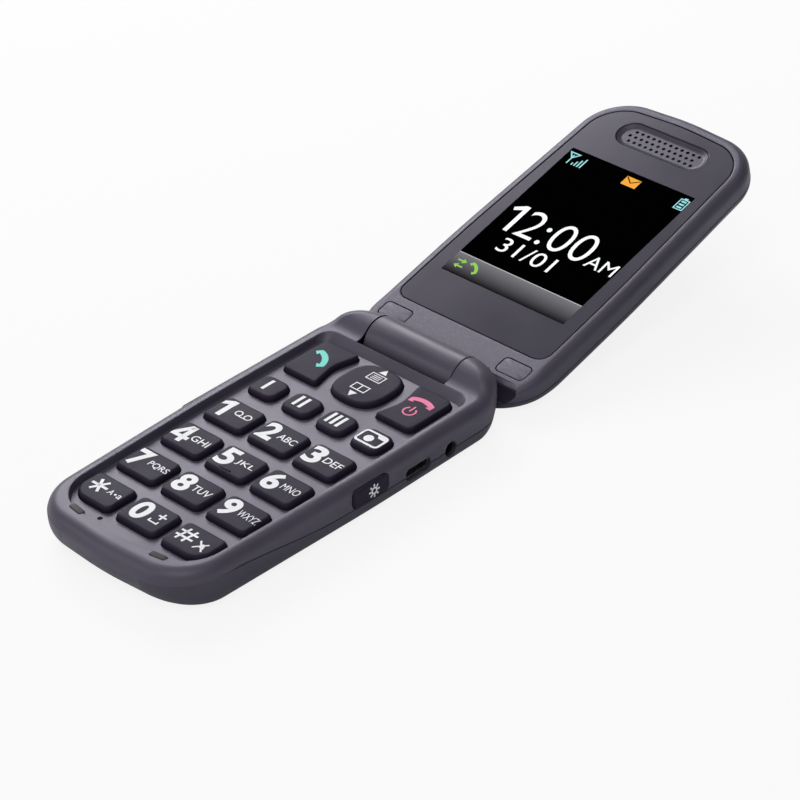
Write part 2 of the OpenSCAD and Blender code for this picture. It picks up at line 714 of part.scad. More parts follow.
module housing_screws() {
    color("silver")
    for (s = screw_at)
        translate([s.x, s.y, head_z])
            union() {
                cylinder(h = head_t, r = head_r, $fn = 32);
                cylinder(h = board_top + 1.2 - head_z, r = screw_r, $fn = 32);
            }
}
module closing_bumpers() {
    color("#1d1c22")
    for (x = [-bumper_x, bumper_x])
        bumper_seat(x, 0);
}
module hinge_cartridge() {
    color("silver")
    union() {
        across(-cartridge_x, -slot_half, cartridge_r, hinge_y, hinge_z);
        across(-slot_half, -barrel_half + 6, shaft_r, hinge_y, hinge_z);
    }
}
module hinge_bush() {
    color("silver")
    difference() {
        across(bush_x0, bush_x1, bush_r - pin_gap, hinge_y, hinge_z);
        across(bush_x0 - 1, bush_x1 + 1, flex_r + 0.2, hinge_y, hinge_z);
    }
}
module hinge_flex_base() {
    color("darkorange")
    union() {
        across(barrel_half + end_gap / 2, flex_x1, flex_r, hinge_y, hinge_z, 32);
        block(flex_x0, flex_x1, flex_y1 - flex_drop_l, hinge_y, flex_z - 0.1, flex_z + 0.1);
        block(flex_x0, flex_x1, flex_y1 - flex_drop_l, flex_y1, board_top, flex_z);
    }
}

module send_key() {
    color("#3a3940")
        key_body(key_plan("send"));
}
module end_key() {
    color("#3a3940")
        key_body(key_plan("end"));
}
module nav_key() {
    color("#3a3940")
        key_body(key_plan("nav"), flange_top - 0.35);
}
module memory_key(k) {
    color("#3a3940")
        key_body(key_plan("memory", k));
}
module memory_key_1() {
    memory_key(1);
}
module memory_key_2() {
    memory_key(2);
}
module memory_key_3() {
    memory_key(3);
}
module camera_key() {
    memory_key(4);
}
module digit_key(col, row) {
    color("#3a3940")
        key_body(key_plan("digit", col, row));
}
module key_1() {
    digit_key(-1, 0);
}
module key_2() {
    digit_key(0, 0);
}
module key_3() {
    digit_key(1, 0);
}
module key_4() {
    digit_key(-1, 1);
}
bar_half = 1.6;
module key_5() {
    digit_key(0, 1);
    c = digit_at(0, 1);
    color("#3a3940")
        block(c.x - bar_half, c.x + bar_half, c.y - digit_l / 2 + 1, c.y - digit_l / 2 + 1.5,
            key_top - 0.3, key_top + 0.2);
}
module key_6() {
    digit_key(1, 1);
}
module key_7() {
    digit_key(-1, 2);
}
module key_8() {
    digit_key(0, 2);
}
module key_9() {
    digit_key(1, 2);
}
module key_0() {
    digit_key(0, 3);
}
module key_star() {
    digit_key(-1, 3);
}
module key_hash() {
    digit_key(1, 3);
}
// Side key from its outer face at x = 0 inwards, with a lip behind the wall
side_proud = 0.25;
side_lip_x = 0.65;
side_lip_t = 0.6;
module side_key(l, y) {
    union() {
        side_profile(-wall - side_lip_x - side_lip_t / 2, side_proud, side_key_plan(l, y, 0));
        side_profile(-wall - side_lip_x - side_lip_t, -wall - side_lip_x,
            rounded(box_outline(l + 1.2, side_key_h - 2, 0.6, y, side_key_z), 5));
    }
}
module light_key() {
    color("#3a3940")
    translate([half_w, 0, 0])
        side_key(light_l, light_y);
}
module volume_key() {
    color("#3a3940")
    translate([-half_w, 0, 0])
        mirror([1, 0, 0])
            side_key(volume_l, volume_y);
}

// The lid is drawn with x across, y away from the hinge axis and its face at height 0, then opened
module on_lid() {
    translate([0, hinge_y, hinge_z])
        rotate([lid_tilt, 0, 0])
            translate([0, 0, -face_drop])
                children();
}
heel_d = 0.5;
heel_t = 4.4;
heel_slope = tan(lid_tilt);
heel_end = heel_d + (lid_t - heel_t) / heel_slope;
heel_blend = 2.5;
lid_plan = plan(heel_d, heel_corner_r, [heel_end + heel_blend, heel_end, heel_end - heel_blend]);
function thickness(d) = let (short = heel_end - max(heel_d, d))
    short <= -heel_blend ? lid_t : short >= heel_blend ? lid_t - heel_slope * short
    : lid_t - heel_slope * pow(short + heel_blend, 2) / (4 * heel_blend);
lid_part = 0.575;
function lid_in(t, ny) = let (s = scoop(shoulder_r - 0.3, t) + scoop(lid_edge_r, lid_t - t))
    let (e = ny < 0 ? scoop(0.8, t) : s) mix(s, e, ny * ny);
function lid_ring(f) = [for (i = [0:len(lid_plan) - 1])
    let (n = outward(lid_plan, i), s = lid_in(f * lid_t, n.y))
    let (q = lid_plan[i] - s * n) [q.x, q.y, -f * thickness(q.y)]];
module lid_body(fractions) {
    loft([for (f = fractions) lid_ring(f)]);
}
lid_cavity_d = 12.5;
lid_cavity_r = 4;
lid_wall = wall + 0.7;
lid_cavity = grown(plan(lid_cavity_d - lid_wall, lid_cavity_r + lid_wall), -lid_wall);
window_side = 2.95;
window_tip = 3.6;
window_d0 = 15.25;
window_r = 3.5;
window_tip_r = 70;
window_tip_corner_r = 10;
window_x = half_w - window_side;
function window_corners(out) =
    [[0, reach - window_tip + out, window_tip_r],
     [-window_x + side_taper - out, reach - window_tip - 1.5 + out, window_tip_corner_r + out],
     [-window_x - out, bend_d, bend_r, bend_steps], [-window_x - out, window_d0 - out, window_r + out],
     [window_x + out, window_d0 - out, window_r + out], [window_x + out, bend_d, bend_r, bend_steps],
     [window_x - side_taper + out, reach - window_tip - 1.5 + out, window_tip_corner_r + out]];
function window_plan(out) = rounded(window_corners(out), corner_steps);
plug_x = half_w - 7.55;
plug_d = 10.45;
plug_w = 8.2;
plug_l = 4.7;
plug_r = 1.3;
function plug_plan(x, gap) =
    rounded(box_outline(plug_w + 2 * gap, plug_l + 2 * gap, plug_r + gap, x, plug_d), 6);
plug_t = 1;
display_w = view_w + 3.54;
display_l = view_l + 5.8;
display_t = 2.2;
receiver_w = 15;
receiver_l = 6.5;
receiver_t = 2.5;
hollow_r = hinge_r + knuckle_gap;
hollow_half = half_w + 1;
board_d0 = 15;
board_d1 = ear_at - receiver_l / 2 - 0.4;
flex_lid_x0 = 5.6;
flex_lid_x1 = 8;
flex_way = [[0, face_drop], [5, -window_t - wall - 0.6], [board_d0 + 2, -window_t - wall - 0.6]];
// Band of a given thickness along a line of points
function ribbon(p, t) = let (n = len(p))
    let (side = [for (i = [0:n - 1]) let (d = unit(p[min(i + 1, n - 1)] - p[max(i - 1, 0)])) [-d.y, d.x]])
    concat([for (i = [0:n - 1]) p[i] - side[i] * t / 2], [for (i = [n - 1:-1:0]) p[i] + side[i] * t / 2]);
module barrel() {
    across(-barrel_half, barrel_half, hinge_r, 0, face_drop, 72);
    touch = [0, face_drop] + hinge_r * unit([barrel_fairing_d, barrel_fairing_r] - [0, face_drop]);
    a0 = atan2(touch.y - barrel_fairing_r, touch.x - barrel_fairing_d);
    side_profile(-barrel_half, barrel_half, concat(
        [for (k = [0:5]) let (a = -90 - (270 - (a0 < 0 ? a0 + 360 : a0)) * k / 5)
            [barrel_fairing_d + barrel_fairing_r * cos(a), barrel_fairing_r + barrel_fairing_r * sin(a)]],
        [[1, face_drop], [1, -1.2], [barrel_fairing_d, -1.2]]));
}
// Room for the knuckles beside the barrel
module knuckle_room() {
    for (x = [-hollow_half, barrel_half])
        across(x, x + hollow_half - barrel_half, hollow_r, 0, face_drop, 72);
}
// Front edge of the room, rounded to clear the base's fairing when closed
module hollow_edge() {
    r = fairing_r - lid_gap;
    c = [hinge_y - fairing_y, -r];
    a1 = atan2(c.x, face_drop + r);
    side_profile(-hollow_half, hollow_half, concat(
        [for (k = [0:6]) c + r * [-sin(a1 * k / 6), cos(a1 * k / 6)]],
        [[0, face_drop], [c.x, face_drop]]));
}
module lid_front_housing() {
    color("#55545c")
    on_lid()
    difference() {
        union() {
            difference() {
                lid_body([lid_part - 0.004, 0.33, 0.22, 0.12, 0.05, 0.012, 0]);
                knuckle_room();
                hollow_edge();
                prism(lid_cavity, -lid_t - 1, -window_t - wall);
            }
            barrel();
        }
        prism(window_plan(0), -window_t, 1);
        block(-display_w / 2 - 0.2, display_w / 2 + 0.2, display_d - display_l / 2 - 0.2,
            display_d + display_l / 2 + 0.2, -4, 0);
        block(-receiver_w / 2 - 0.2, receiver_w / 2 + 0.2, ear_at - receiver_l / 2 - 0.2,
            ear_at + receiver_l / 2 + 0.2, -4, 0);
        for (x = [-plug_x, plug_x])
            prism(plug_plan(x, trim_gap), -plug_t, 1);
        for (x = [-plug_x, plug_x])
            translate([x, plug_d, -lid_screw_l]) {
                cylinder(h = lid_screw_l, r = screw_r + 0.15, $fn = 32);
                translate([0, 0, lid_screw_l - plug_t - lid_head_t - 0.1])
                    cylinder(h = lid_head_t + 0.2, r = lid_head_r + 0.1, $fn = 32);
            }
        across(-barrel_half - 1, -barrel_half + 6.5, shaft_r + pin_gap, 0, face_drop);
        across(bush_x0 - 0.3, barrel_half + 1, bush_r, 0, face_drop);
        across(flex_lid_x0 - 0.2, barrel_half, flex_r + 0.2, 0, face_drop);
        side_profile(flex_lid_x0 - 0.2, flex_lid_x1 + 0.2, ribbon(flex_way, 0.6));
    }
}
module lid_rear_housing() {
    color("#4a4950")
    on_lid()
    difference() {
        lid_body([1, 0.97, 0.91, 0.82, 0.7, lid_part + 0.004]);
        intersection() {
            prism(lid_cavity, -lid_t - 1, 1);
            side_profile(-half_w, half_w, [[heel_d + 2, 1], [reach, 1], [reach, -lid_t + wall],
                [heel_end + heel_blend, -lid_t + wall], [heel_d + 2, -heel_t + wall - 0.3]]);
        }
        knuckle_room();
        translate([0, camera_d, -lid_t - 1])
            cylinder(h = 3, r = camera_r + 0.05);
        for (x = [-plug_x, plug_x])
            translate([x, plug_d, -lid_screw_l - 0.1])
                cylinder(h = lid_screw_l, r = screw_r, $fn = 32);
    }
}
lid_screw_l = 5;
lid_head_r = 1.5;
lid_head_t = 0.6;
camera_d = 21.05;
camera_r = 4;
module display_window() {
    color("#2a2a30")
    on_lid()
    difference() {
        prism(window_plan(-trim_gap), -window_t, 0);
        prism(rounded(box_outline(ear_l, ear_w, ear_w / 2 - 0.01, 0, ear_at), 10), -2, 1);
    }
}
module display_module() {
    color("black")
    on_lid()
        block(-display_w / 2, display_w / 2, display_d - display_l / 2, display_d + display_l / 2,
            -window_t - 0.1 - display_t, -window_t - 0.1);
}
module earpiece_grille() {
    color("#3c3c44")
    on_lid()
    difference() {
        prism(rounded(box_outline(ear_l - 0.1, ear_w - 0.1, ear_w / 2 - 0.06, 0, ear_at), 10),
            -window_t, -window_t + 0.15);
        for (r = [-1:1], k = [0:11])
            translate([(k - 5.5 + 0.25 * (r == 0 ? 1 : -1)) * 1.72, ear_at + r * 1.7, -3])
                cylinder(h = 4, r = 0.45, $fn = 16);
    }
}
module earpiece_receiver() {
    color("#222226")
    on_lid()
        block(-receiver_w / 2, receiver_w / 2, ear_at - receiver_l / 2, ear_at + receiver_l / 2,
            -window_t - 0.1 - receiver_t, -window_t - 0.1);
}
lid_board_x = half_w - 6.75;
lid_board_t = 0.7;
lid_board_z = -window_t - display_t - 0.3;
module lid_board() {
    color("#2f6b45")
    on_lid()
        block(-lid_board_x, lid_board_x, board_d0, board_d1, lid_board_z - lid_board_t, lid_board_z);
}
module camera_module() {
    color("#151518")
    on_lid()
        translate([0, camera_d, -lid_t + 0.95])
            union() {
                cylinder(h = 1, r = 2.6);
                translate([-3.5, -3.5, 0.6])
                    cube([7, 7, lid_t - 0.95 - 0.6 - window_t - display_t - 1]);
            }
}
module camera_window() {
    color("#101014")
    on_lid()
        translate([0, camera_d, -lid_t])
            cylinder(h = 0.9, r = camera_r);
}
module screw_plugs() {
    color("#55545c")
    on_lid()
    for (x = [-plug_x, plug_x])
        prism(plug_plan(x, 0), -plug_t + 0.05, 0);
}
module lid_screws() {
    color("silver")
    on_lid()
    for (x = [-plug_x, plug_x])
        translate([x, plug_d, -lid_screw_l])
            union() {
                cylinder(h = lid_screw_l - plug_t - lid_head_t / 2, r = screw_r, $fn = 32);
                translate([0, 0, lid_screw_l - plug_t - lid_head_t])
                    cylinder(h = lid_head_t, r = lid_head_r, $fn = 32);
            }
}
magnet_x = receiver_w / 2 + 4.5;
magnet_w = 5;
magnet_t = 1.8;
module lid_magnet() {
    color("silver")
    on_lid()
        block(magnet_x, magnet_x + magnet_w, ear_at - 3.2, ear_at - 0.2, -window_t - wall - magnet_t,
            -window_t - wall);
}
module hinge_flex_lid() {
    color("darkorange")
    on_lid()
    union() {
        across(flex_lid_x0, barrel_half + end_gap / 2 - 0.1, flex_r, 0, face_drop, 32);
        side_profile(flex_lid_x0, flex_lid_x1, ribbon(flex_way, 0.2));
    }
}

base_front_housing();
back_cover();
chassis();
battery_pack();
main_board();
shield_cans();
dome_sheet();
key_mat();
usb_socket();
headset_jack();
microphone();
loudspeaker();
vibration_motor();
sim_holder();
battery_contacts();
antenna();
housing_screws();
closing_bumpers();
hinge_cartridge();
hinge_bush();
hinge_flex_base();
send_key();
end_key();
nav_key();
memory_key_1();
memory_key_2();
memory_key_3();
camera_key();
key_1();
key_2();
key_3();
key_4();
key_5();
key_6();
key_7();
key_8();
key_9();
key_0();
key_star();
key_hash();
light_key();
volume_key();
lid_front_housing();
lid_rear_housing();
display_window();
display_module();
earpiece_grille();
earpiece_receiver();
lid_board();
camera_module();
camera_window();
screw_plugs();
lid_screws();
lid_magnet();
hinge_flex_lid();
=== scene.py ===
import math

import bmesh
import bpy
import numpy as np
from mathutils import Matrix, Vector
from mathutils.bvhtree import BVHTree


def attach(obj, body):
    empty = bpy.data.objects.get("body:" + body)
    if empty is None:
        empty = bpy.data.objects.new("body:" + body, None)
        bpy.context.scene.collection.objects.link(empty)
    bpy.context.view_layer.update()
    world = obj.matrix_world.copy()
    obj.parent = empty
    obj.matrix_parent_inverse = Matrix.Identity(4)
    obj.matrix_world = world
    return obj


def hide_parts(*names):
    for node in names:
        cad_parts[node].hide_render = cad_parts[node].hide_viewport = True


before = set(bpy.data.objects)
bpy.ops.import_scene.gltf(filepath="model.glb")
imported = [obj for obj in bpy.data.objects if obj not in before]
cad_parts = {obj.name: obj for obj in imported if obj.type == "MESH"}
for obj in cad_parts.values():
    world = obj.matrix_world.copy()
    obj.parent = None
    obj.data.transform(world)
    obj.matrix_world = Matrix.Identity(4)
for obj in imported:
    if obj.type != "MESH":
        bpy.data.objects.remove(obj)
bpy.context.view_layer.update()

# Sizes of the phone in millimetres
HALF_W, PHONE_L, BASE_H, LID_T, WALL = 25.75, 105.0, 10.05, 8.2, 1.3
SIDE_TAPER, TIP_BOW, TIP_CORNER_R, REAR_CORNER_R, HEEL_CORNER_R = 1.85, 1.6, 13.0, 14.5, 11.0
TIP_R, SIDE_Y, SIDE_R = 75.0, 42.0, 500.0
HINGE_R, FACE_DROP, LID_GAP, CLOSING_ANGLE = 5.65, 2.86, 0.27, 165.4
HINGE_Y = PHONE_L / 2 - HINGE_R
HINGE_Z = BASE_H + LID_GAP - FACE_DROP
REACH = HINGE_Y + PHONE_L / 2
TILT = math.radians(180 - CLOSING_ANGLE)
WELL_DEPTH, KEY_RISE = 1.75, 1.33
FLOOR_Z = BASE_H - WELL_DEPTH
KEY_TOP = FLOOR_Z + KEY_RISE
BARREL_HALF, END_GAP = 13.05, 0.3
DISPLAY_D, VIEW_W, VIEW_L = 52.05, 37.46, 49.2
TONGUE_HALF, TONGUE_Z = 12.0, 2.5
JACK_Y, JACK_Z, USB_Y, USB_Z = 28.3, 4.0, 17.9, 4.125
LIGHT_Y, LIGHT_L, VOLUME_Y, VOLUME_L, SIDE_Z, SIDE_H = 2.85, 11.0, 6.0, 20.0, 6.25, 4.4
PLUG_X, PLUG_D, PLUG_W, PLUG_L, PLUG_R = 18.2, 10.45, 8.2, 4.7, 1.3
EAR_D, CAMERA_D = DISPLAY_D + 35.6, DISPLAY_D - 31
WINDOW_T, LID_FRONT_R, LID_BACK_R = 1.0, 2.7, 3.6
MM = 0.001

LID_AT = (Matrix.Translation((0, HINGE_Y, HINGE_Z)) @ Matrix.Rotation(TILT, 4, "X")
          @ Matrix.Translation((0, 0, -FACE_DROP)))


# Outlines
def unit(v):
    return v / np.hypot(*v)


def units(rows):
    return rows / np.hypot(rows[:, 0], rows[:, 1])[:, None]


def spoke(a):
    return np.array([math.cos(a), math.sin(a)])


def corner(a, p, b, r, steps):
    """Points of the arc that rounds corner p between its neighbours a and b."""
    u, v = unit(a - p), unit(b - p)
    half = math.acos(max(-1.0, min(1.0, float(u @ v)))) / 2
    centre = p + unit(u + v) * r / math.sin(half)
    s, e = p + u * r / math.tan(half) - centre, p + v * r / math.tan(half) - centre
    start = math.atan2(s[1], s[0])
    sweep = math.atan2(e[1], e[0]) - start
    sweep = (sweep + math.pi) % (2 * math.pi) - math.pi
    return [centre + r * spoke(start + sweep * k / steps) for k in range(steps + 1)]


def rounded(corners, steps=12, edges=1):
    """Outline with rounded corners, each given as x, y and radius; edges splits each straight run."""
    n = len(corners)
    points = [np.array(c[:2], float) for c in corners]
    arcs = []
    for i, c in enumerate(corners):
        if c[2] <= 0:
            arcs.append([points[i]])
        else:
            arcs.append(corner(points[i - 1], points[i], points[(i + 1) % n], c[2],
                               c[3] if len(c) > 3 else steps))
    out = []
    for i in range(n):
        a, b = arcs[i][-1], arcs[(i + 1) % n][0]
        out += arcs[i] + [a + (b - a) * k / edges for k in range(1, edges)]
    return np.array(out)


def normals(p):
    t = units(np.roll(p, -1, 0) - np.roll(p, 1, 0))
    return np.stack([t[:, 1], -t[:, 0]], 1)


def grown(p, by):
    """Outline moved outwards, by one distance or by one for each point."""
    return p + normals(p) * np.reshape(by, (-1, 1))


def box_outline(w, l, r, x=0.0, y=0.0, steps=10, edges=1):
    return rounded([(x + w / 2, y + l / 2, r), (x - w / 2, y + l / 2, r),
                    (x - w / 2, y - l / 2, r), (x + w / 2, y - l / 2, r)], steps, edges)


def scoop(r, h):
    """How far a rounded lower edge is drawn in at height h."""
    h = np.minimum(np.maximum(h, 0), r)
    return r - np.sqrt(np.maximum(0, r * r - (r - h) ** 2))


def mix(a, b, k):
    return a + (b - a) * k


def ease(k):
    c = np.clip(k, 0, 1)
    return c * c * (3 - 2 * c)


def bend(*degrees):
    """How far down and how far in a round edge lies at some angles, as shares of its radius."""
    return [(1 - math.sin(a), 1 - math.cos(a)) for a in np.radians(degrees)]


def spin(degrees):
    """Matrix that turns an outline's points anticlockwise."""
    a = math.radians(degrees)
    return np.array([[math.cos(a), math.sin(a)], [-math.sin(a), math.cos(a)]])


CORNER_STEPS, REAR_STEPS, EDGE_SPLITS, BEND_STEPS = 20, 32, 10, 6


def mirrored(tip, half):
    """Outline from the middle of its closing end; half holds one side's corners, repeated on the other."""
    p = rounded([tip, *half, *[(-x, *more) for x, *more in reversed(half)]], CORNER_STEPS, EDGE_SPLITS)
    return np.roll(p, -CORNER_STEPS // 2, 0)


def plan(rear, rear_r, kinks=(), rear_steps=CORNER_STEPS):
    """Half of the phone seen from above; y is away from the hinge."""
    return mirrored((0, REACH, TIP_R), [
        (-HALF_W + SIDE_TAPER, REACH - TIP_BOW, TIP_CORNER_R), (-HALF_W, SIDE_Y, SIDE_R, BEND_STEPS),
        *[(-HALF_W, k, 0) for k in kinks], (-HALF_W, rear, rear_r, rear_steps)])


# Meshes, made in millimetres
def new_object(name, verts, faces):
    mesh = bpy.data.meshes.new(name)
    mesh.from_pydata([tuple(map(float, v)) for v in verts], [], faces)
    mesh.update()
    obj = bpy.data.objects.new(name, mesh)
    bpy.context.scene.collection.objects.link(obj)
    return obj


def ladder(n, first, flip):
    """Cap across an outline that mirrors about its first point."""
    faces = []
    half = (n - 1) // 2
    faces.append([first, first + 1, first + n - 1])
    for i in range(1, half):
        faces.append([first + i, first + i + 1, first + n - i - 1, first + n - i])
    if n % 2 == 0:
        faces[-1].insert(2, first + n // 2)
    return [f[::-1] for f in faces] if flip else faces


def loft(name, rings, caps="ladder"):
    """Closed solid through rings that run anticlockwise and are stacked upwards."""
    n, m = len(rings[0]), len(rings)
    verts = np.concatenate([np.asarray(r, float) for r in rings])
    faces = [[j * n + i, j * n + (i + 1) % n, (j + 1) * n + (i + 1) % n, (j + 1) * n + i]
             for j in range(m - 1) for i in range(n)]
    if caps == "ladder":
        faces += ladder(n, 0, True) + ladder(n, (m - 1) * n, False)
    elif caps == "fan":
        ends = [rings[0], rings[-1]]
        verts = np.concatenate([verts, [(np.max(r, 0) + np.min(r, 0)) / 2 for r in ends]])
        faces += [[(i + 1) % n, i, m * n] for i in range(n)]
        faces += [[(m - 1) * n + i, (m - 1) * n + (i + 1) % n, m * n + 1] for i in range(n)]
    else:
        faces += [list(range(n - 1, -1, -1)), list(range((m - 1) * n, m * n))]
    return new_object(name, verts, faces)


def ring(p, z):
    return np.column_stack([p, np.broadcast_to(z, (len(p),))])


def along_x(p, x):
    """Ring of an outline given as y and z, at a place across the phone."""
    return np.column_stack([np.full(len(p), x), p])


def prism(name, p, z0, z1):
    return loft(name, [ring(p, z0), ring(p, z1)], "flat")


def prism_x(name, p, x0, x1):
    return loft(name, [along_x(p, x0), along_x(p, x1)], "flat")


def stack(name, p, steps, caps="fan"):
    """Solid over one outline; each step is how far the outline is drawn in, and its height."""
    return loft(name, [ring(grown(p, -d), z) for d, z in steps], caps)


def circle(r, y, z, n=96):
    a = np.arange(n) * 2 * math.pi / n
    return np.column_stack([y + r * np.cos(a), z + r * np.sin(a)])


def merged(name, objects):
    verts, faces = [], []
    for obj in objects:
        faces += [[len(verts) + i for i in f.vertices] for f in obj.data.polygons]
        verts += [v.co[:] for v in obj.data.vertices]
        bpy.data.objects.remove(obj)
    return new_object(name, verts, faces)


def combine(target, tools, operation, solver="EXACT"):
    for tool in tools:
        m = target.modifiers.new("cut", "BOOLEAN")
        m.operation, m.solver, m.object = operation, solver, tool
        graph = bpy.context.evaluated_depsgraph_get()
        mesh = bpy.data.meshes.new_from_object(target.evaluated_get(graph))
        target.modifiers.clear()
        target.data = mesh
        bpy.data.objects.remove(tool)
    return target


def cut(target, *tools):
    return combine(target, tools, "DIFFERENCE")


def add(target, *tools):
    return combine(target, tools, "UNION")


# Shapes printed on a surface
def text_shape(text, box, bold=0.0):
    """Characters as triangles that fill a box given as x0, y0, x1, y1."""
    curve = bpy.data.curves.new("print", "FONT")
    curve.body, curve.offset, curve.resolution_u = text, bold, 6
    obj = bpy.data.objects.new("print", curve)
    bpy.context.scene.collection.objects.link(obj)
    bpy.context.view_layer.update()
    mesh = bpy.data.meshes.new_from_object(obj.evaluated_get(bpy.context.evaluated_depsgraph_get()))
    p = np.array([v.co[:2] for v in mesh.vertices])
    faces = [list(f.vertices) for f in mesh.polygons]
    bpy.data.objects.remove(obj)
    low, high = p.min(0), p.max(0)
    size = np.array([box[2] - box[0], box[3] - box[1]])
    return (p - low) / (high - low) * size + np.array(box[:2]), faces


def poly(*points):
    return np.array(points, float), [list(range(len(points)))]


def stroke(points, w, closed=False):
    """Band of width w along a line of points, with mitred bends."""
    p = np.array(points, float)
    if closed:
        t = units(np.roll(p, -1, 0) - p)
        before = np.roll(t, 1, 0)
    else:
        t = units(np.diff(p, axis=0))
        before = np.vstack([t[:1], t])
        t = np.vstack([t, t[-1:]])
    middle = units(t + before)
    side = np.stack([-middle[:, 1], middle[:, 0]], 1)
    reach = w / 2 / np.maximum(0.4, (middle * t).sum(1))[:, None]
    n = len(p)
    last = n if closed else n - 1
    return (np.vstack([p + side * reach, p - side * reach]),
            [[i, n + i, n + (i + 1) % n, (i + 1) % n] for i in range(last)])


def arc(cx, cy, r, a0, a1, n=24):
    a = np.radians(np.linspace(a0, a1, n))
    return np.column_stack([cx + r * np.cos(a), cy + r * np.sin(a)])


def disc(cx, cy, r, n=28):
    return poly(*arc(cx, cy, r, 0, 360 * (n - 1) / n, n))


def frame_box(x0, y0, x1, y1, w, r=0.0):
    return stroke(box_outline(x1 - x0, y1 - y0, r, (x0 + x1) / 2, (y0 + y1) / 2, 6), w, True)


def placed(shape, x, y, s=1.0):
    return shape[0] * s + (x, y), shape[1]


def turned(shape, degrees, x, y):
    return (shape[0] - (x, y)) @ spin(degrees) + (x, y), shape[1]


def from_above(x, y):
    return Vector((x, y, 40)), Vector((0, 0, -1))


def printed(obj, shapes, slot, lift=0.012, drop=from_above, step=1.0):
    """Lays flat shapes on a piece; drop gives each point a start and a direction to meet the piece in."""
    source = bmesh.new()
    source.from_mesh(obj.data)
    tree = BVHTree.FromBMesh(source)
    flat = bmesh.new()
    for points, faces in shapes:
        made = [flat.verts.new((float(x), float(y), 0)) for x, y in points]
        for f in faces:
            flat.faces.new([made[i] for i in f])
    flat.normal_update()
    bmesh.ops.triangulate(flat, faces=flat.faces[:])
    for k in range(2 if step else 0):
        places = [v.co[k] for v in flat.verts]
        for c in np.arange(math.ceil(min(places) / step) * step, max(places), step):
            bmesh.ops.bisect_plane(flat, geom=flat.verts[:] + flat.edges[:] + flat.faces[:],
                                   plane_co=[c if j == k else 0 for j in range(3)],
                                   plane_no=[1 if j == k else 0 for j in range(3)])
    for v in flat.verts:
        start, look = drop(v.co.x, v.co.y)
        v.co = tree.ray_cast(start, look)[0] - look * lift
    flat.normal_update()
    wrong = [f for f in flat.faces if f.normal.dot(look) > 0]
    bmesh.ops.reverse_faces(flat, faces=wrong)
    copy = {v: source.verts.new(v.co) for v in flat.verts}
    for f in flat.faces:
        face = source.faces.new([copy[v] for v in f.verts])
        face.material_index = slot
        face.smooth = False
    source.to_mesh(obj.data)
    source.free()
    flat.free()


def paint(obj, rules):
    """Gives faces a material slot where a rule about their centre and normal holds; the last rule wins."""
    for f in obj.data.polygons:
        for slot, holds in rules:
            if holds(f.center, f.normal):
                f.material_index = slot


def finish_piece(obj, body, materials, replaces=(), angle=32, flat=None):
    """Puts a piece in place, in metres, and hands it to its body. flat is a rule for faces shaded flat."""
    smooth = [not (flat and flat(f.center, f.normal)) for f in obj.data.polygons]
    if body == "lid":
        obj.data.transform(LID_AT)
    obj.data.transform(Matrix.Scale(MM, 4))
    for m in materials:
        obj.data.materials.append(m)
    obj.data.set_sharp_from_angle(angle=math.radians(angle))
    obj.data.polygons.foreach_set("use_smooth", smooth)
    weighted = obj.modifiers.new("normals", "WEIGHTED_NORMAL")
    weighted.keep_sharp = True
    obj.data.update()
    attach(obj, body)
    if replaces:
        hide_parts(*replaces)


# Materials
def set_inputs(node, values):
    for key, value in values.items():
        node.inputs[key].default_value = value


def node_set(name):
    m = bpy.data.materials.new(name)
    m.use_nodes = True
    nodes, links = m.node_tree.nodes, m.node_tree.links
    nodes.clear()
    out = nodes.new("ShaderNodeOutputMaterial")
    shader = nodes.new("ShaderNodeBsdfPrincipled")
    links.new(shader.outputs[0], out.inputs[0])
    return m, nodes, links, shader


def noise(nodes, links, scale, detail):
    where = nodes.new("ShaderNodeTexCoord")
    n = nodes.new("ShaderNodeTexNoise")
    set_inputs(n, {"Scale": scale, "Detail": detail, "Roughness": 0.55})
    links.new(where.outputs["Object"], n.inputs["Vector"])
    return n


def remap(nodes, links, value, low, high, to_low, to_high):
    r = nodes.new("ShaderNodeMapRange")
    set_inputs(r, {"From Min": low, "From Max": high, "To Min": to_low, "To Max": to_high})
    links.new(value, r.inputs["Value"])
    return r.outputs["Result"]


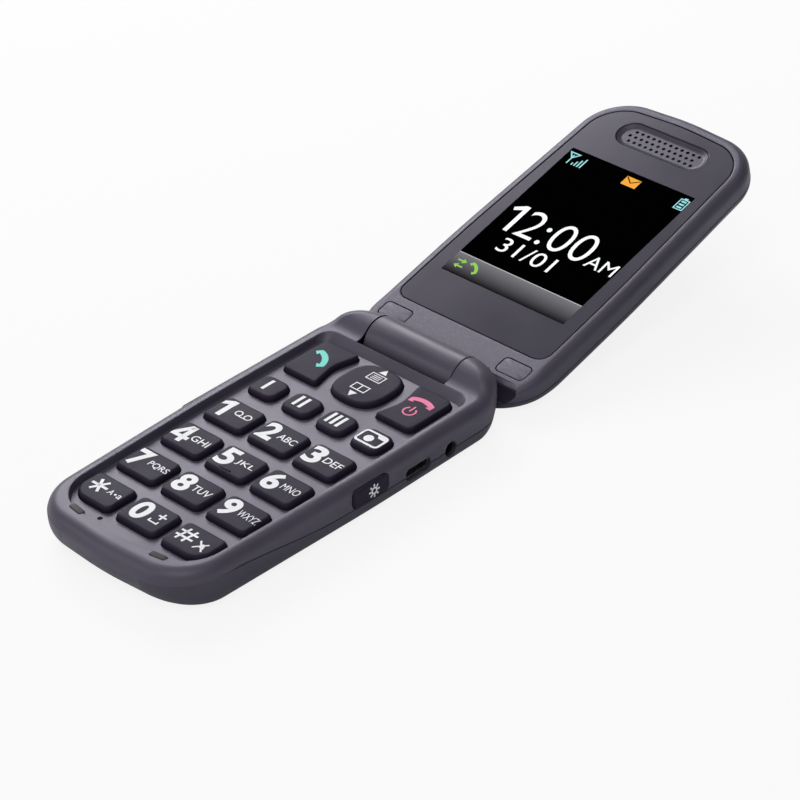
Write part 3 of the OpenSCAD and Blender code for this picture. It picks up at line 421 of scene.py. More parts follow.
def surface(name, colour, rough, grain=0.0, grain_size=0.2, vary=0.06, specks=0.0, metal=0.0, coat=0.0,
            coat_rough=0.1, emit=None, emit_strength=0.0, specular=0.5, rough_vary=0.05, tint=(1, 1, 1)):
    """Moulded or printed surface; grain_size is in millimetres."""
    m, nodes, links, shader = node_set(name)
    set_inputs(shader, {"Metallic": metal, "Specular IOR Level": specular, "Coat Weight": coat,
                        "Coat Roughness": coat_rough, "Specular Tint": (*tint, 1)})
    broad = noise(nodes, links, 60.0, 3.0)
    fine = noise(nodes, links, 1000.0 / grain_size, 2.0)
    blend = nodes.new("ShaderNodeMix")
    blend.data_type = "RGBA"
    set_inputs(blend, {key: (*[c * k for c in colour], 1) for key, k in (("A", 1 - vary), ("B", 1 + vary))})
    links.new(remap(nodes, links, broad.outputs["Fac"], 0.35, 0.65, 0, 1), blend.inputs["Factor"])
    colour_out = blend.outputs["Result"]
    if specks:
        dots = noise(nodes, links, 1000.0 / grain_size * 0.9, 1.0)
        over = nodes.new("ShaderNodeMix")
        over.data_type = "RGBA"
        over.inputs["B"].default_value = (*[min(1.0, c * 3.2 + 0.05) for c in colour], 1)
        links.new(colour_out, over.inputs["A"])
        links.new(remap(nodes, links, dots.outputs["Fac"], 0.58, 0.75, 0, specks), over.inputs["Factor"])
        colour_out = over.outputs["Result"]
    links.new(colour_out, shader.inputs["Base Color"])
    links.new(remap(nodes, links, broad.outputs["Fac"], 0.3, 0.7, rough - rough_vary, rough + rough_vary),
              shader.inputs["Roughness"])
    if grain:
        bump = nodes.new("ShaderNodeBump")
        set_inputs(bump, {"Strength": grain, "Distance": grain_size * MM * 0.2})
        links.new(fine.outputs["Fac"], bump.inputs["Height"])
        links.new(bump.outputs["Normal"], shader.inputs["Normal"])
    if emit:
        set_inputs(shader, {"Emission Color": (*emit, 1), "Emission Strength": emit_strength})
    return m


VIOLET = (0.86, 0.80, 1.0)


def plastic(name, colour, rough, grain=0.3, grain_size=0.16, vary=0.06, **more):
    return surface(name, colour, rough, grain, grain_size, vary, tint=VIOLET, **more)


def ink(name, colour):
    return surface(name, colour, 0.5, 0.1, 0.1, 0.02)


def metal(name, colour, rough, grain=0.1, grain_size=0.1):
    return surface(name, colour, rough, grain, grain_size, 0.04, metal=1.0)


def glow(name, colour, strength=0.8):
    return surface(name, [c * 0.3 for c in colour], 0.5, 0.0, 0.2, 0.02, emit=colour, emit_strength=strength,
                   specular=0.0)


shell = plastic("shell_plastic", (0.082, 0.075, 0.104), 0.40)
shell_low = plastic("back_plastic", (0.062, 0.057, 0.078), 0.42)
lid_frame_mat = plastic("lid_frame_plastic", (0.100, 0.093, 0.126), 0.45, 1.0, 0.22, 0.08, specks=0.4)
lid_side_mat = plastic("lid_side_plastic", (0.078, 0.072, 0.098), 0.38)
lid_back_mat = plastic("lid_back_plastic", (0.062, 0.057, 0.078), 0.40)
key_mat = plastic("soft_touch", (0.021, 0.0165, 0.032), 0.52, 0.35, 0.12, 0.08, specular=0.16)
white_ink = ink("white_print", (0.90, 0.90, 0.93))
teal_ink = ink("teal_print", (0.13, 0.72, 0.64))
pink_ink = ink("pink_print", (0.90, 0.16, 0.36))
window_mat = plastic("window_acrylic", (0.046, 0.042, 0.060), 0.20, 0.0, 0.2, 0.03, specular=0.35,
                     rough_vary=0.02)
panel_mat = surface("display_black", (0.0006, 0.0006, 0.0006), 0.5, 0.0, 0.2, 0.02, specular=0.0)
grille_mat = plastic("grille_plastic", (0.056, 0.051, 0.072), 0.36, 0.2, 0.15, 0.05)
# Painted shade: a darker copy of the plastic for the walls of the room for the base's knuckles, standing in
# for the shade there
hollow_painted_shade = plastic("painted_shade_hollow", (0.026, 0.023, 0.034), 0.6, 0.2, 0.16, 0.05, specular=0.2)
# Painted shade: a near-black sheet for the walls of seams, of the barrel's slot and of the earpiece's holes,
# standing in for the shade in them
painted_seam_shade = surface("seam_shade", (0.006, 0.005, 0.008), 0.8, 0.0, 0.2, 0.02, specular=0.0)
rubber_mat = surface("bumper_rubber", (0.020, 0.020, 0.023), 0.6, 0.4, 0.15, 0.08)
steel_mat = metal("plain_steel", (0.55, 0.55, 0.56), 0.32, 0.15)
tin_mat = metal("tinned_sheet", (0.62, 0.62, 0.60), 0.38, 0.2, 0.15)
gold_mat = metal("gold_flash", (0.78, 0.58, 0.28), 0.3)
black_mat = surface("black_component", (0.013, 0.013, 0.015), 0.45, 0.2, 0.15, 0.08)
board_mat = surface("solder_mask", (0.02, 0.10, 0.05), 0.35, 0.15, 0.2, 0.1)
film_mat = surface("dome_film", (0.55, 0.52, 0.44), 0.3, 0.1, 0.2, 0.05)
silicone_mat = surface("grey_silicone", (0.28, 0.28, 0.30), 0.6, 0.2, 0.15, 0.05)
flex_mat = surface("polyimide", (0.45, 0.18, 0.03), 0.3, 0.1, 0.2, 0.06)
lens_mat = surface("lens_cover", (0.008, 0.008, 0.010), 0.08, 0.0, 0.2, 0.03, coat=0.6, coat_rough=0.03)
cell_mat = surface("battery_wrap", (0.018, 0.018, 0.020), 0.5, 0.2, 0.2, 0.06)
glow_white = glow("lit_white", (0.95, 0.96, 0.98))
glow_cyan = glow("lit_cyan", (0.33, 0.72, 0.75))
glow_orange = glow("lit_orange", (0.90, 0.40, 0.05))
glow_green = glow("lit_green", (0.28, 0.60, 0.10))
glow_dark = glow("lit_dark", (0.02, 0.015, 0.01), 0.1)
glow_line = glow("lit_line", (0.42, 0.41, 0.44), 1.0)
BAR_LOW, BAR_HIGH = -24.5, -17.9


def bar_material():
    """Grey bar at the bottom of the display, fading to black."""
    m, nodes, links, shader = node_set("lit_bar")
    where = nodes.new("ShaderNodeTexCoord")
    split = nodes.new("ShaderNodeSeparateXYZ")
    links.new(where.outputs["Object"], split.inputs[0])
    y = [(LID_AT @ Vector((0, DISPLAY_D + v, 0))).y * MM for v in (BAR_LOW, BAR_HIGH)]
    ramp = nodes.new("ShaderNodeValToRGB")
    ramp.color_ramp.elements[0].color = (0.004, 0.004, 0.005, 1)
    ramp.color_ramp.elements[1].color = (0.105, 0.103, 0.112, 1)
    links.new(remap(nodes, links, split.outputs["Y"], y[0], y[1], 0, 1), ramp.inputs[0])
    links.new(ramp.outputs[0], shader.inputs["Emission Color"])
    links.new(ramp.outputs[0], shader.inputs["Base Color"])
    set_inputs(shader, {"Emission Strength": 1.0, "Roughness": 0.5, "Specular IOR Level": 0.0})
    return m


bar_mat = bar_material()


# Base
FAIRING_R, RAMP_FROM = 4.0, math.radians(70)
SIDE_LOW_R, TIP_LOW_R, SIDE_TOP_R, TIP_TOP_R = 2.8, 6.4, 3.0, 3.3
FAIRING_Y = HINGE_Y - math.sqrt((HINGE_R + FAIRING_R) ** 2 - (BASE_H + FAIRING_R - HINGE_Z) ** 2)
FAIRING_END = FAIRING_Y + FAIRING_R * (HINGE_Y - FAIRING_Y) / (HINGE_R + FAIRING_R)
RAMP_Z, RAMP_IN = HINGE_Z - HINGE_R * math.sin(RAMP_FROM), HINGE_R * (1 - math.cos(RAMP_FROM))


def top_at(y):
    """Height of the top along the base: the rim, a fairing and the knuckle round the hinge axis."""
    fair = BASE_H + scoop(FAIRING_R, FAIRING_R - (y - FAIRING_Y))
    high = HINGE_Z + np.sqrt(np.maximum(0, HINGE_R ** 2 - (y - HINGE_Y) ** 2))
    return np.where(y <= FAIRING_Y, BASE_H, np.where(y <= FAIRING_END, fair, high))


def under_in(z):
    """How far the hinge end is drawn in under the knuckles: a ramp, then round the hinge axis."""
    ramp = RAMP_IN + (RAMP_Z - z) * math.tan(RAMP_FROM)
    knuckle = HINGE_R - np.sqrt(np.maximum(0, HINGE_R ** 2 - np.minimum(0, z - HINGE_Z) ** 2))
    return np.where(z < RAMP_Z, ramp, knuckle)


def low_in(z, ny):
    """How far the base's outline is drawn in at height z; ny is the y of its outward direction."""
    return mix(scoop(SIDE_LOW_R, z), np.where(ny < 0, scoop(TIP_LOW_R, z), under_in(z)), ny * ny)


def to_base(p):
    return np.column_stack([-p[:, 0], HINGE_Y - p[:, 1]])


def split_at(lists, x):
    """Adds two close points to all lists, on each side where the first one's closing end passes x."""
    for s in (x, -x):
        q = lists[0]
        for i in range(len(q)):
            j = (i + 1) % len(q)
            if q[i, 1] > -PHONE_L / 2 + 8 or (q[i, 0] - s) * (q[j, 0] - s) > 0 or q[i, 0] == q[j, 0]:
                continue
            k = (s - q[i, 0]) / (q[j, 0] - q[i, 0])
            gap = 0.04 / abs(q[j, 0] - q[i, 0])
            lists = [np.insert(m, i + 1, [mix(m[i], m[j], k - gap), mix(m[i], m[j], k + gap)], 0)
                     for m in lists]
            break
    return lists


WELL_SIDE, WELL_TIP, WELL_TOP_Y, WELL_R = 3.75, 5.3, 39.5, 3.5


def well(out, rear):
    """Outline of the key well, out wider all round and its rear wall drawn in by rear."""
    tip_y, rear_y = -PHONE_L / 2 + WELL_TIP - out, WELL_TOP_Y + out - rear
    side = HALF_W - WELL_SIDE + out
    tip_x = side - SIDE_TAPER + 0.4
    return mirrored((0, tip_y, 62.0), [(tip_x, tip_y + 1.3, 9.5 + out), (side, 0, SIDE_R, BEND_STEPS),
                                       (side - 0.1, rear_y, WELL_R + out, REAR_STEPS)])


def part_at(y):
    """Height of the seam between the front housing and the back cover."""
    return 3.9 + 3.3 * ease((-5 - y) / 37)


SEAM, SEAM_EDGE = 0.07, 0.14
base_plan = to_base(plan(-HINGE_R, REAR_CORNER_R, (), REAR_STEPS))
WELL_STEPS = ((0.3, 0, BASE_H), (0.1, 0.05, BASE_H - 0.05), (0.0, 0.25, BASE_H - 0.22),
              (-0.12, 1.15, FLOOR_Z + 0.7), (-0.35, 1.8, FLOOR_Z + 0.02))
wells = [well(out, rear) for out, rear, z in WELL_STEPS]
cavity_plan = to_base(plan(8.3 - WALL, 4.0 + WALL, (), REAR_STEPS))
cavity_n = normals(cavity_plan)
cavity = grown(cavity_plan, -WALL - np.where(cavity_n[:, 1] < 0, 2.0 * cavity_n[:, 1] ** 2, 0))
base_plan, cavity, *wells = split_at([base_plan, cavity, *wells], TONGUE_HALF)
out_n = normals(base_plan)
in_tongue = (np.abs(base_plan[:, 0]) < TONGUE_HALF) & (base_plan[:, 1] < -40)
tongue_top = TIP_LOW_R - math.sqrt(TIP_LOW_R ** 2 - (TIP_LOW_R - TONGUE_Z) ** 2)
part = np.where(in_tongue, tongue_top, part_at(base_plan[:, 1]))
top_r = mix(SIDE_TOP_R, np.where(out_n[:, 1] < 0, TIP_TOP_R, HINGE_R), out_n[:, 1] ** 2)
top_z = top_at(np.minimum(HINGE_Y, base_plan[:, 1] - top_r * out_n[:, 1]))


def base_ring(z, more=0.0):
    return ring(grown(base_plan, -low_in(z, out_n[:, 1]) - more), z)


def front_shell():
    low = part + SEAM
    rings = [ring(cavity, FLOOR_Z - 0.6), ring(cavity, low)]
    rings += [base_ring(low + SEAM_EDGE * c, SEAM_EDGE * s) for s, c in bend(0, 30, 60, 90)]
    wall_top = top_z - top_r
    rings += [base_ring(mix(low + SEAM_EDGE, wall_top, t)) for t in np.linspace(0.1, 0.9, 8)]
    rings += [ring(grown(base_plan, -top_r * c), top_z - top_r * s) for s, c in bend(*np.linspace(0, 90, 19))]
    edge = rings[-1][:, :2]
    for t in np.linspace(0, 1, 30)[1:-1]:
        q = mix(edge, wells[0], t)
        rings.append(ring(q, top_at(np.minimum(HINGE_Y, q[:, 1]))))
    return loft("front_shell", rings + [ring(p, step[2]) for p, step in zip(wells, WELL_STEPS)])


def back_shell():
    high = part - SEAM
    rings = [base_ring((high - SEAM_EDGE) * t)
             for t in (0, 0.02, 0.06, 0.12, 0.2, 0.3, 0.42, 0.55, 0.7, 0.85, 1.0)]
    rings += [base_ring(high - SEAM_EDGE * s, SEAM_EDGE * c) for s, c in bend(30, 60, 90)]
    rings += [ring(cavity, high), ring(cavity, np.minimum(high - 0.05, 2.2)), ring(grown(cavity, -1.4), 1.1)]
    return loft("back_shell", rings)


FILLET_R, SLOT_HALF, SLOT_CLEARANCE = 2.6, BARREL_HALF + END_GAP, 0.5
FILLET_D = math.sqrt((HINGE_R + FILLET_R) ** 2 - (FACE_DROP - FILLET_R) ** 2)


def barrel_slot():
    """Slot for the lid's barrel, its front edge rounded to clear the closed lid's fillet."""
    r, edge_r, back = HINGE_R + SLOT_CLEARANCE, FILLET_R - LID_GAP, 2.0
    axis, c = np.array([HINGE_Y, HINGE_Z]), np.array([HINGE_Y - FILLET_D, BASE_H - edge_r])
    way = axis - c
    d = np.hypot(*way)
    end = math.atan2(way[1], way[0]) + math.acos((d * d + edge_r ** 2 - r * r) / (2 * d * edge_r))
    edge = [c + edge_r * spoke(a) for a in np.linspace(math.pi / 2, end, 20)]
    met = edge[-1] - axis
    start = math.atan2(met[1], met[0])
    round_axis = [axis + r * spoke(a) for a in np.linspace(start, math.pi + math.acos(back / r), 60)[1:]]
    above, beyond = BASE_H + 10, HINGE_Y + 20
    p = [(c[0], above), *edge, *round_axis, (HINGE_Y - back, -1), (beyond, -1), (beyond, above)]
    return prism_x("slot", np.array(p), -SLOT_HALF, SLOT_HALF)


def side_plan(l, y, gap):
    return box_outline(l + 2 * gap, SIDE_H + 2 * gap, 1.4 + gap, y, SIDE_Z)


def port_tool(p):
    """Cut from outside with a slightly flared mouth."""
    steps = ((0, -7), (0, -0.22), (0.12, -0.06), (0.3, 0.02), (0.3, 3))
    return loft("port", [along_x(grown(p, d), HALF_W + x) for d, x in steps], "flat")


def port_tools():
    usb = box_outline(7.9, 2.85, 1.0, USB_Y, USB_Z)
    return [port_tool(circle(1.8, JACK_Y, JACK_Z, 64)), port_tool(usb),
            prism_x("light_hole", side_plan(LIGHT_L, LIGHT_Y, 0.15), HALF_W - 3.1, HALF_W + 3),
            prism_x("volume_hole", side_plan(VOLUME_L, VOLUME_Y, 0.15), -HALF_W - 3, -HALF_W + 3.1)]


# Keys
PITCH_X, PITCH_Y, ROW_Y, NAV_Y, MEMORY_Y = 13.7, 12.9, 1.1, 29.0, 13.8
KEY_W, KEY_L, KEY_R, OUTER_R = 12.0, 9.3, 1.6, 4.6


def digit_plan(col, row):
    x, y = col * PITCH_X, ROW_Y - row * PITCH_Y
    w, l, low = KEY_W / 2, KEY_L / 2, OUTER_R if row == 3 and col else KEY_R
    return rounded([(x + w, y + l, KEY_R), (x - w, y + l, KEY_R), (x - w, y - l, low if col < 0 else KEY_R),
                    (x + w, y - l, low if col > 0 else KEY_R)], 10, 4)


def memory_plan(k):
    return box_outline(8.3, 7.6, 2.4, (k - 1.5) * 10.5, MEMORY_Y, 10, 4)


def call_plan(side):
    y0, y1 = NAV_Y - 7.45, NAV_Y + 7.45
    p = [(8.8, y1, 0.9), (19.8, y1, 2.2), (19.8, y0, 1.8), (8.8, y0, 0.9), (10.5, NAV_Y, 9.0)]
    if side < 0:
        return rounded([(-x, y, r) for x, y, r in p], 10, 4)
    return rounded(p[::-1], 10, 4)


def nav_plan():
    a = np.radians(np.arange(120) * 3 + 1.5)
    x, y = [np.sign(k) * np.abs(k) ** 0.72 for k in (np.cos(a), np.sin(a))]
    return np.column_stack([7.1 * x, NAV_Y + 7.6 * y])


DIGITS = ["key_%d" % k for k in range(1, 10)] + ["key_star", "key_0", "key_hash"]
MEMORY = ["memory_key_1", "memory_key_2", "memory_key_3", "camera_key"]
KEYS = {name: digit_plan(k % 3 - 1, k // 3) for k, name in enumerate(DIGITS)}
KEYS.update((name, memory_plan(k)) for k, name in enumerate(MEMORY))
KEYS["send_key"], KEYS["end_key"], KEYS["nav_key"] = call_plan(-1), call_plan(1), nav_plan()


def key_piece(name, p, edge, drop, crown=0.07):
    rings = [ring(p, FLOOR_Z - 0.5)]
    rings += [ring(grown(p, -0.06 - edge * c), KEY_TOP - drop * s) for s, c in bend(*range(0, 91, 15))]
    last = rings[-1]
    mid = np.array([*(last[:, :2].max(0) + last[:, :2].min(0)) / 2, KEY_TOP])
    for t in (0.2, 0.45, 0.7, 0.9):
        r = mid + (last - mid) * (1 - t)
        r[:, 2] = KEY_TOP + crown * (1 - (1 - t) ** 2)
        rings.append(r)
    return loft(name, rings, "fan")


front = front_shell()
cut(front, *[prism("hole", grown(p, 0.15), FLOOR_Z - 2, FLOOR_Z + 1.2) for p in KEYS.values()])
cut(front, barrel_slot(), *port_tools(), prism("mic", circle(0.6, -8.1, -44, 32), FLOOR_Z - 2, FLOOR_Z + 2))


def bumper_plan(side, more=0.0):
    """Outline of a closing bumper in its place, more wider all round."""
    return (box_outline(4.2 + 2 * more, 1.7 + 2 * more, 0.6 + more) @ spin(9 * side)
            + (side * 12.4, -PHONE_L / 2 + WELL_TIP + 0.75))


cut(front, *[prism("seat", bumper_plan(side, 0.05), BASE_H - 0.9, BASE_H + 3) for side in (-1, 1)])


def in_slot(c, n):
    """Walls of the slot for the lid's barrel, which get painted shade."""
    return abs(c.x) < SLOT_HALF + 0.01 and math.hypot(c.y - HINGE_Y, c.z - HINGE_Z) < HINGE_R + 0.6 and (
        abs(n.x) < 0.5 or abs(c.x) > SLOT_HALF - 0.01)


# Painted shade on the walls of the barrel's slot
paint(front, [(1, in_slot)])
finish_piece(front, "base", [shell, painted_seam_shade], ["base_front_housing"])

back = back_shell()
cut(back, barrel_slot(), *port_tools(),
    *[prism("slit", box_outline(1, 8, 0.49, -13.5 + 2 * k, 27.5), -1, 3) for k in range(5)])
finish_piece(back, "base", [shell_low], ["back_cover"])

PAD_TOP = BASE_H + 0.15
for side, name in ((-1, "bumper_left"), (1, "bumper_right")):
    pad = stack(name, bumper_plan(side), ((0, BASE_H - 0.9), (0, PAD_TOP - 0.3), (0.05, PAD_TOP - 0.12),
                                          (0.15, PAD_TOP - 0.03), (0.3, PAD_TOP)))
    finish_piece(pad, "base", [rubber_mat], ["closing_bumpers"])

# Key legends, in the plane of the key tops
LETTERS = {"key_2": "ABC", "key_3": "DEF", "key_4": "GHI", "key_5": "JKL", "key_6": "MNO", "key_7": "PQRS",
           "key_8": "TUV", "key_9": "WXYZ"}
legends = {}
for k in range(9):
    name = "key_%d" % (k + 1)
    x, y = (k % 3 - 1) * PITCH_X - 6, ROW_Y - (k // 3) * PITCH_Y
    if k == 0:
        shapes = [poly((x + 4.1, y - 2.9), (x + 4.1, y + 3.5), (x + 2.9, y + 3.5), (x + 0.95, y + 2.3),
                       (x + 0.95, y + 0.9), (x + 2.7, y + 1.75), (x + 2.7, y - 2.9))]
    elif k == 3:
        shapes = [poly((x + 0.7, y - 1.6), (x + 5.7, y - 1.6), (x + 5.7, y - 0.45), (x + 0.7, y - 0.45)),
                  poly((x + 3.45, y - 2.9), (x + 4.75, y - 2.9), (x + 4.75, y + 3.5), (x + 3.45, y + 3.5)),
                  poly((x + 0.7, y - 0.5), (x + 2.15, y - 0.5), (x + 4.6, y + 3.5), (x + 3.1, y + 3.5))]
    else:
        shapes = [text_shape(str(k + 1), (x + 1.0, y - 2.9, x + 5.3, y + 3.5), 0.035)]
    if name in LETTERS:
        word = LETTERS[name]
        width = 1.55 * len(word) + (0.3 if len(word) < 4 else -0.6)
        bold = 0.0 if "M" in word or "W" in word else 0.008
        shapes.append(text_shape(word, (x + 5.9, y - 0.8, x + 5.9 + width, y + 1.3), bold))
    else:
        shapes += [stroke(arc(x + cx, y + 0.55, 0.85, 0, 345, 24), 0.32, True) for cx in (6.9, 9.6)]
        shapes.append(stroke([(x + 6.9, y - 0.3), (x + 9.6, y - 0.3)], 0.32))
    legends[name] = shapes
y0 = ROW_Y - 3 * PITCH_Y
hub = np.array([-15.5, y0 + 0.45])
legends["key_star"] = [stroke([hub - 2.35 * spoke(a), hub + 2.35 * spoke(a)], 0.72)
                       for a in np.radians((0, 60, 120))]
legends["key_star"] += [text_shape("A", (-12.5, y0 - 0.5, -11.1, y0 + 1.1), 0.008),
                        disc(-10.45, y0 + 0.25, 0.32),
                        text_shape("a", (-9.8, y0 - 0.5, -8.7, y0 + 0.8), 0.008)]
legends["key_0"] = [text_shape("0", (-4.4, y0 - 2.9, -0.1, y0 + 3.5), 0.035),
                    stroke([(1.9, y0 + 1.3), (4.1, y0 + 1.3)], 0.5),
                    stroke([(3.0, y0 + 0.2), (3.0, y0 + 2.4)], 0.5),
                    stroke([(1.3, y0 - 0.5), (1.3, y0 - 1.3), (3.6, y0 - 1.3), (3.6, y0 - 0.5)], 0.4)]
legends["key_hash"] = [stroke([(9.9 + s, y0 - 1.9), (10.6 + s, y0 + 2.5)], 0.62) for s in (0, 1.9)]
legends["key_hash"] += [stroke([(8.9, y0 + s), (13.7, y0 + s)], 0.6) for s in (-0.5, 1.2)]
legends["key_hash"] += [
    stroke([(15.0, y0 + 0.9), (17.6, y0 - 1.9)], 0.42), stroke([(17.4, y0 + 0.9), (15.0, y0 - 1.9)], 0.42),
    poly((15.5, y0 - 1.0), (15.8, y0 - 0.9), (16.2, y0 + 0.3), (16.9, y0 + 0.3), (17.3, y0 - 0.9),
         (17.5, y0 - 1.1))]
for name, bars in zip(MEMORY, ((-16.2,), (-6.7, -4.9), (3.2, 4.8, 6.4))):
    legends[name] = [stroke([(x, 12.0), (x, 16.1)], 0.85) for x in bars]
legends["camera_key"] = [frame_box(12.4, 11.6, 18.8, 16.0, 0.6, 0.9), disc(15.1, 13.5, 1.2),
                         poly((15.9, 15.8), (16.7, 14.7), (18.7, 14.7), (18.7, 15.8))]


def handset(cx, cy, w, h):
    """Telephone handset lying face down."""
    top = arc(cx, cy - w * 0.62, w * 0.86, 54, 126, 16)
    under = arc(cx, cy - w * 0.70, w * 0.72, 118, 62, 14)
    ends = [(cx - w * 0.5, cy - h * 0.95), (cx - w * 0.27, cy - h * 0.8)]
    return poly(*top, (cx - w * 0.52, cy + 0.05), ends[0], ends[1], *under, (cx + w * 0.27, cy - h * 0.8),
                (cx + w * 0.5, cy - h * 0.95))


legends["end_key"] = [handset(14.5, 31.2, 6.5, 1.15), stroke(arc(14.6, 27.0, 1.5, 125, 415, 26), 0.42),
                      stroke([(14.6, 27.0), (14.6, 29.1)], 0.42)]
legends["send_key"] = [turned(handset(-14.9, 29.7, 6.7, 1.3), -46.5, -15.0, 29.4)]
legends["nav_key"] = [frame_box(-2, 30.6, 2, 33.2, 0.28),
                      *[stroke([(-1.3, y), (1.3, y)], 0.24) for y in (31.3, 31.9, 32.5)],
                      frame_box(-2, 25.6, 2, 27.8, 0.3), stroke([(0, 25.6), (0, 27.8)], 0.3),
                      poly((-1.1, 33.9), (1.1, 33.9), (0, 35.8)), poly((-1.1, 24.6), (0, 22.7), (1.1, 24.6))]
INK = {"end_key": pink_ink, "send_key": teal_ink}
for name, p in KEYS.items():
    key = key_piece(name + "_cap", p, 0.65 if name in INK else 0.9, 0.9)
    if name == "key_5":
        bar = box_outline(3.2, 0.55, 0.25, 0, ROW_Y - PITCH_Y - 3.35, 4)
        add(key, stack("bar", bar, ((0, KEY_TOP - 0.4), (0, KEY_TOP + 0.06), (0.08, KEY_TOP + 0.16),
                                    (0.2, KEY_TOP + 0.2))))
    printed(key, legends[name], 1, 0.03, step=0.6)
    body = "nav" if name == "nav_key" else name
    finish_piece(key, body, [key_mat, INK.get(name, white_ink)], [name], angle=40)


# Side keys
def side_key(name, l, y, side):
    """Key that stands 0.25 mm out of a side, with a rounded edge."""
    p = side_plan(l, y, 0)
    rings = [along_x(p, HALF_W - 1.6)]
    rings += [along_x(grown(p, -0.45 * c), HALF_W + 0.25 - 0.45 * s) for s, c in bend(0, 20, 40, 60, 75, 90)]
    last = rings[-1]
    mid = (last.max(0) + last.min(0)) / 2
    rings += [mid + (last - mid) * k for k in (0.75, 0.5, 0.2)]
    obj = loft(name, rings, "fan")
    if side < 0:
        obj.data.transform(Matrix.Scale(-1, 4, (1, 0, 0)))
        obj.data.flip_normals()
    return obj


def from_side(side):
    return lambda u, v: (Vector((side * 60, u, v)), Vector((-side, 0, 0)))


light = side_key("light_key_cap", LIGHT_L, LIGHT_Y, 1)
sun = [stroke(arc(0, 0, 0.8, 0, 345, 24), 0.5, True)]
sun += [stroke([1.12 * spoke(a), 1.85 * spoke(a)], 0.5) for a in np.radians(np.arange(8) * 45)]
printed(light, [placed(s, 3.6, 6.2, 0.9) for s in sun], 1, drop=from_side(1))
finish_piece(light, "light", [key_mat, white_ink], ["light_key"], angle=40)
volume = side_key("volume_key_cap", VOLUME_L, VOLUME_Y, -1)
signs = [stroke([(x0, SIDE_Z + z0), (x1, SIDE_Z + z1)], 0.35)
         for x0, z0, x1, z1 in ((11.4, 0, 13.4, 0), (12.4, -1, 12.4, 1), (-1.4, 0, 0.6, 0))]
printed(volume, signs, 1, drop=from_side(-1))
finish_piece(volume, "volume", [key_mat, white_ink], ["volume_key"], angle=40)

# Lid
HEEL_D, HEEL_T, HEEL_BLEND = 0.5, 4.4, 2.5
HEEL_SLOPE = math.tan(TILT)
HEEL_END = HEEL_D + (LID_T - HEEL_T) / HEEL_SLOPE
lid_plan = plan(HEEL_D, HEEL_CORNER_R, (HEEL_END + HEEL_BLEND, HEEL_END, HEEL_END - HEEL_BLEND))
lid_n = normals(lid_plan)
LID_PART, HEEL_R = 0.575, 0.8


def thickness(d):
    """Thickness of the lid at a distance from the hinge; it slopes towards the heel."""
    short = HEEL_END - np.maximum(HEEL_D, d)
    blend = LID_T - HEEL_SLOPE * (short + HEEL_BLEND) ** 2 / (4 * HEEL_BLEND)
    blend = np.where(short >= HEEL_BLEND, LID_T - HEEL_SLOPE * short, blend)
    return np.where(short <= -HEEL_BLEND, LID_T, blend)


def lid_in(t, ny):
    """How far the lid's outline is drawn in at depth t; ny is the y of its outward direction."""
    s = scoop(LID_FRONT_R, t) + scoop(LID_BACK_R, LID_T - t)
    return mix(s, np.where(ny < 0, scoop(HEEL_R, t), s), ny * ny)


def lid_ring(f, more=0.0, shift=0.0):
    """Ring round the lid at a share f of its thickness."""
    q = grown(lid_plan, -lid_in(f * LID_T, lid_n[:, 1]) - more)
    return ring(q, -f * thickness(q[:, 1]) + shift)


def window_plan(out):
    """Outline of the window's recess, out wider all round."""
    side, tip = HALF_W - 2.95 + out, REACH - 3.6 + out
    return mirrored((0, tip, 70.0), [(-side + SIDE_TAPER, tip - 1.5, 10.0 + out),
                                     (-side, SIDE_Y, SIDE_R, BEND_STEPS), (-side, 15.25 - out, 3.5 + out)])


lid_cavity = grown(plan(10.5, 6.0), -2.0)
HOLLOW_R, HOLLOW_HALF = HINGE_R + 0.55, HALF_W + 1


def barrel():
    """The lid's barrel with the fillet that joins it to the lid's face, and rounded ends."""
    axis, f = np.array([0, FACE_DROP]), np.array([FILLET_D, FILLET_R])
    t = axis - f
    a0, a1 = math.degrees(math.atan2(t[1], t[0])) % 360, math.degrees(math.atan2(-t[1], -t[0]))
    p = [f + FILLET_R * spoke(a) for a in np.radians(np.linspace(270, a0, 14))]
    p += [axis + HINGE_R * spoke(a) for a in np.radians(np.linspace(a1, 300, 90))[1:]]
    p = np.array([*p, (FILLET_D, -1.2)])
    share = np.ones((len(p), 1))
    share[:14, 0], share[-1] = np.linspace(0, 1, 14), 0
    ends = [(BARREL_HALF, 0.3), (BARREL_HALF - 0.09, 0.09), (BARREL_HALF - 0.3, 0.0)]
    return loft("barrel", [along_x(axis + (p - axis) * (1 - share * shrink / HINGE_R), x)
                           for x, shrink in [(-x, shrink) for x, shrink in ends] + ends[::-1]], "fan")


def plug_outline(x, out):
    return box_outline(PLUG_W + 2 * out, PLUG_L + 2 * out, PLUG_R + out, x, PLUG_D)


# Outward directions of the outlines' corners and sides, from the closing end round
LANDMARKS = ((-0.7, 0.7), (-1, 0), (-0.7, -0.7), (0.7, -0.7), (1, 0), (0.7, 0.7))


def corner_index(p, way):
    """Place in an outline where it faces a direction; the sides count as facing outwards at their middle."""
    if way[1] == 0:
        side = np.where(p[:, 0] * way[0] > 0)[0]
        return side[np.argmin(np.abs(p[side, 1] - SIDE_Y))]
    return np.argmax(normals(p) @ unit(np.array(way)))


def run_along(p):
    return np.concatenate([[0], np.cumsum(np.hypot(*np.diff(p, axis=0).T))])


def lid_match(inner, outer):
    """The inner outline with as many points as the outer one, spaced alike between the landmarks."""
    marks = [[0, *[corner_index(p, way) for way in LANDMARKS], len(p)] for p in (outer, inner)]
    outer, inner = [np.vstack([p, p[:1]]) for p in (outer, inner)]
    out = []
    for o0, o1, i0, i1 in zip(marks[0], marks[0][1:], marks[1], marks[1][1:]):
        run_o, run_i = run_along(outer[o0:o1 + 1]), run_along(inner[i0:i1 + 1])
        share = run_o[:-1] / run_o[-1] * run_i[-1]
        out.append(np.column_stack([np.interp(share, run_i, inner[i0:i1 + 1, k]) for k in range(2)]))
    return np.concatenate(out)


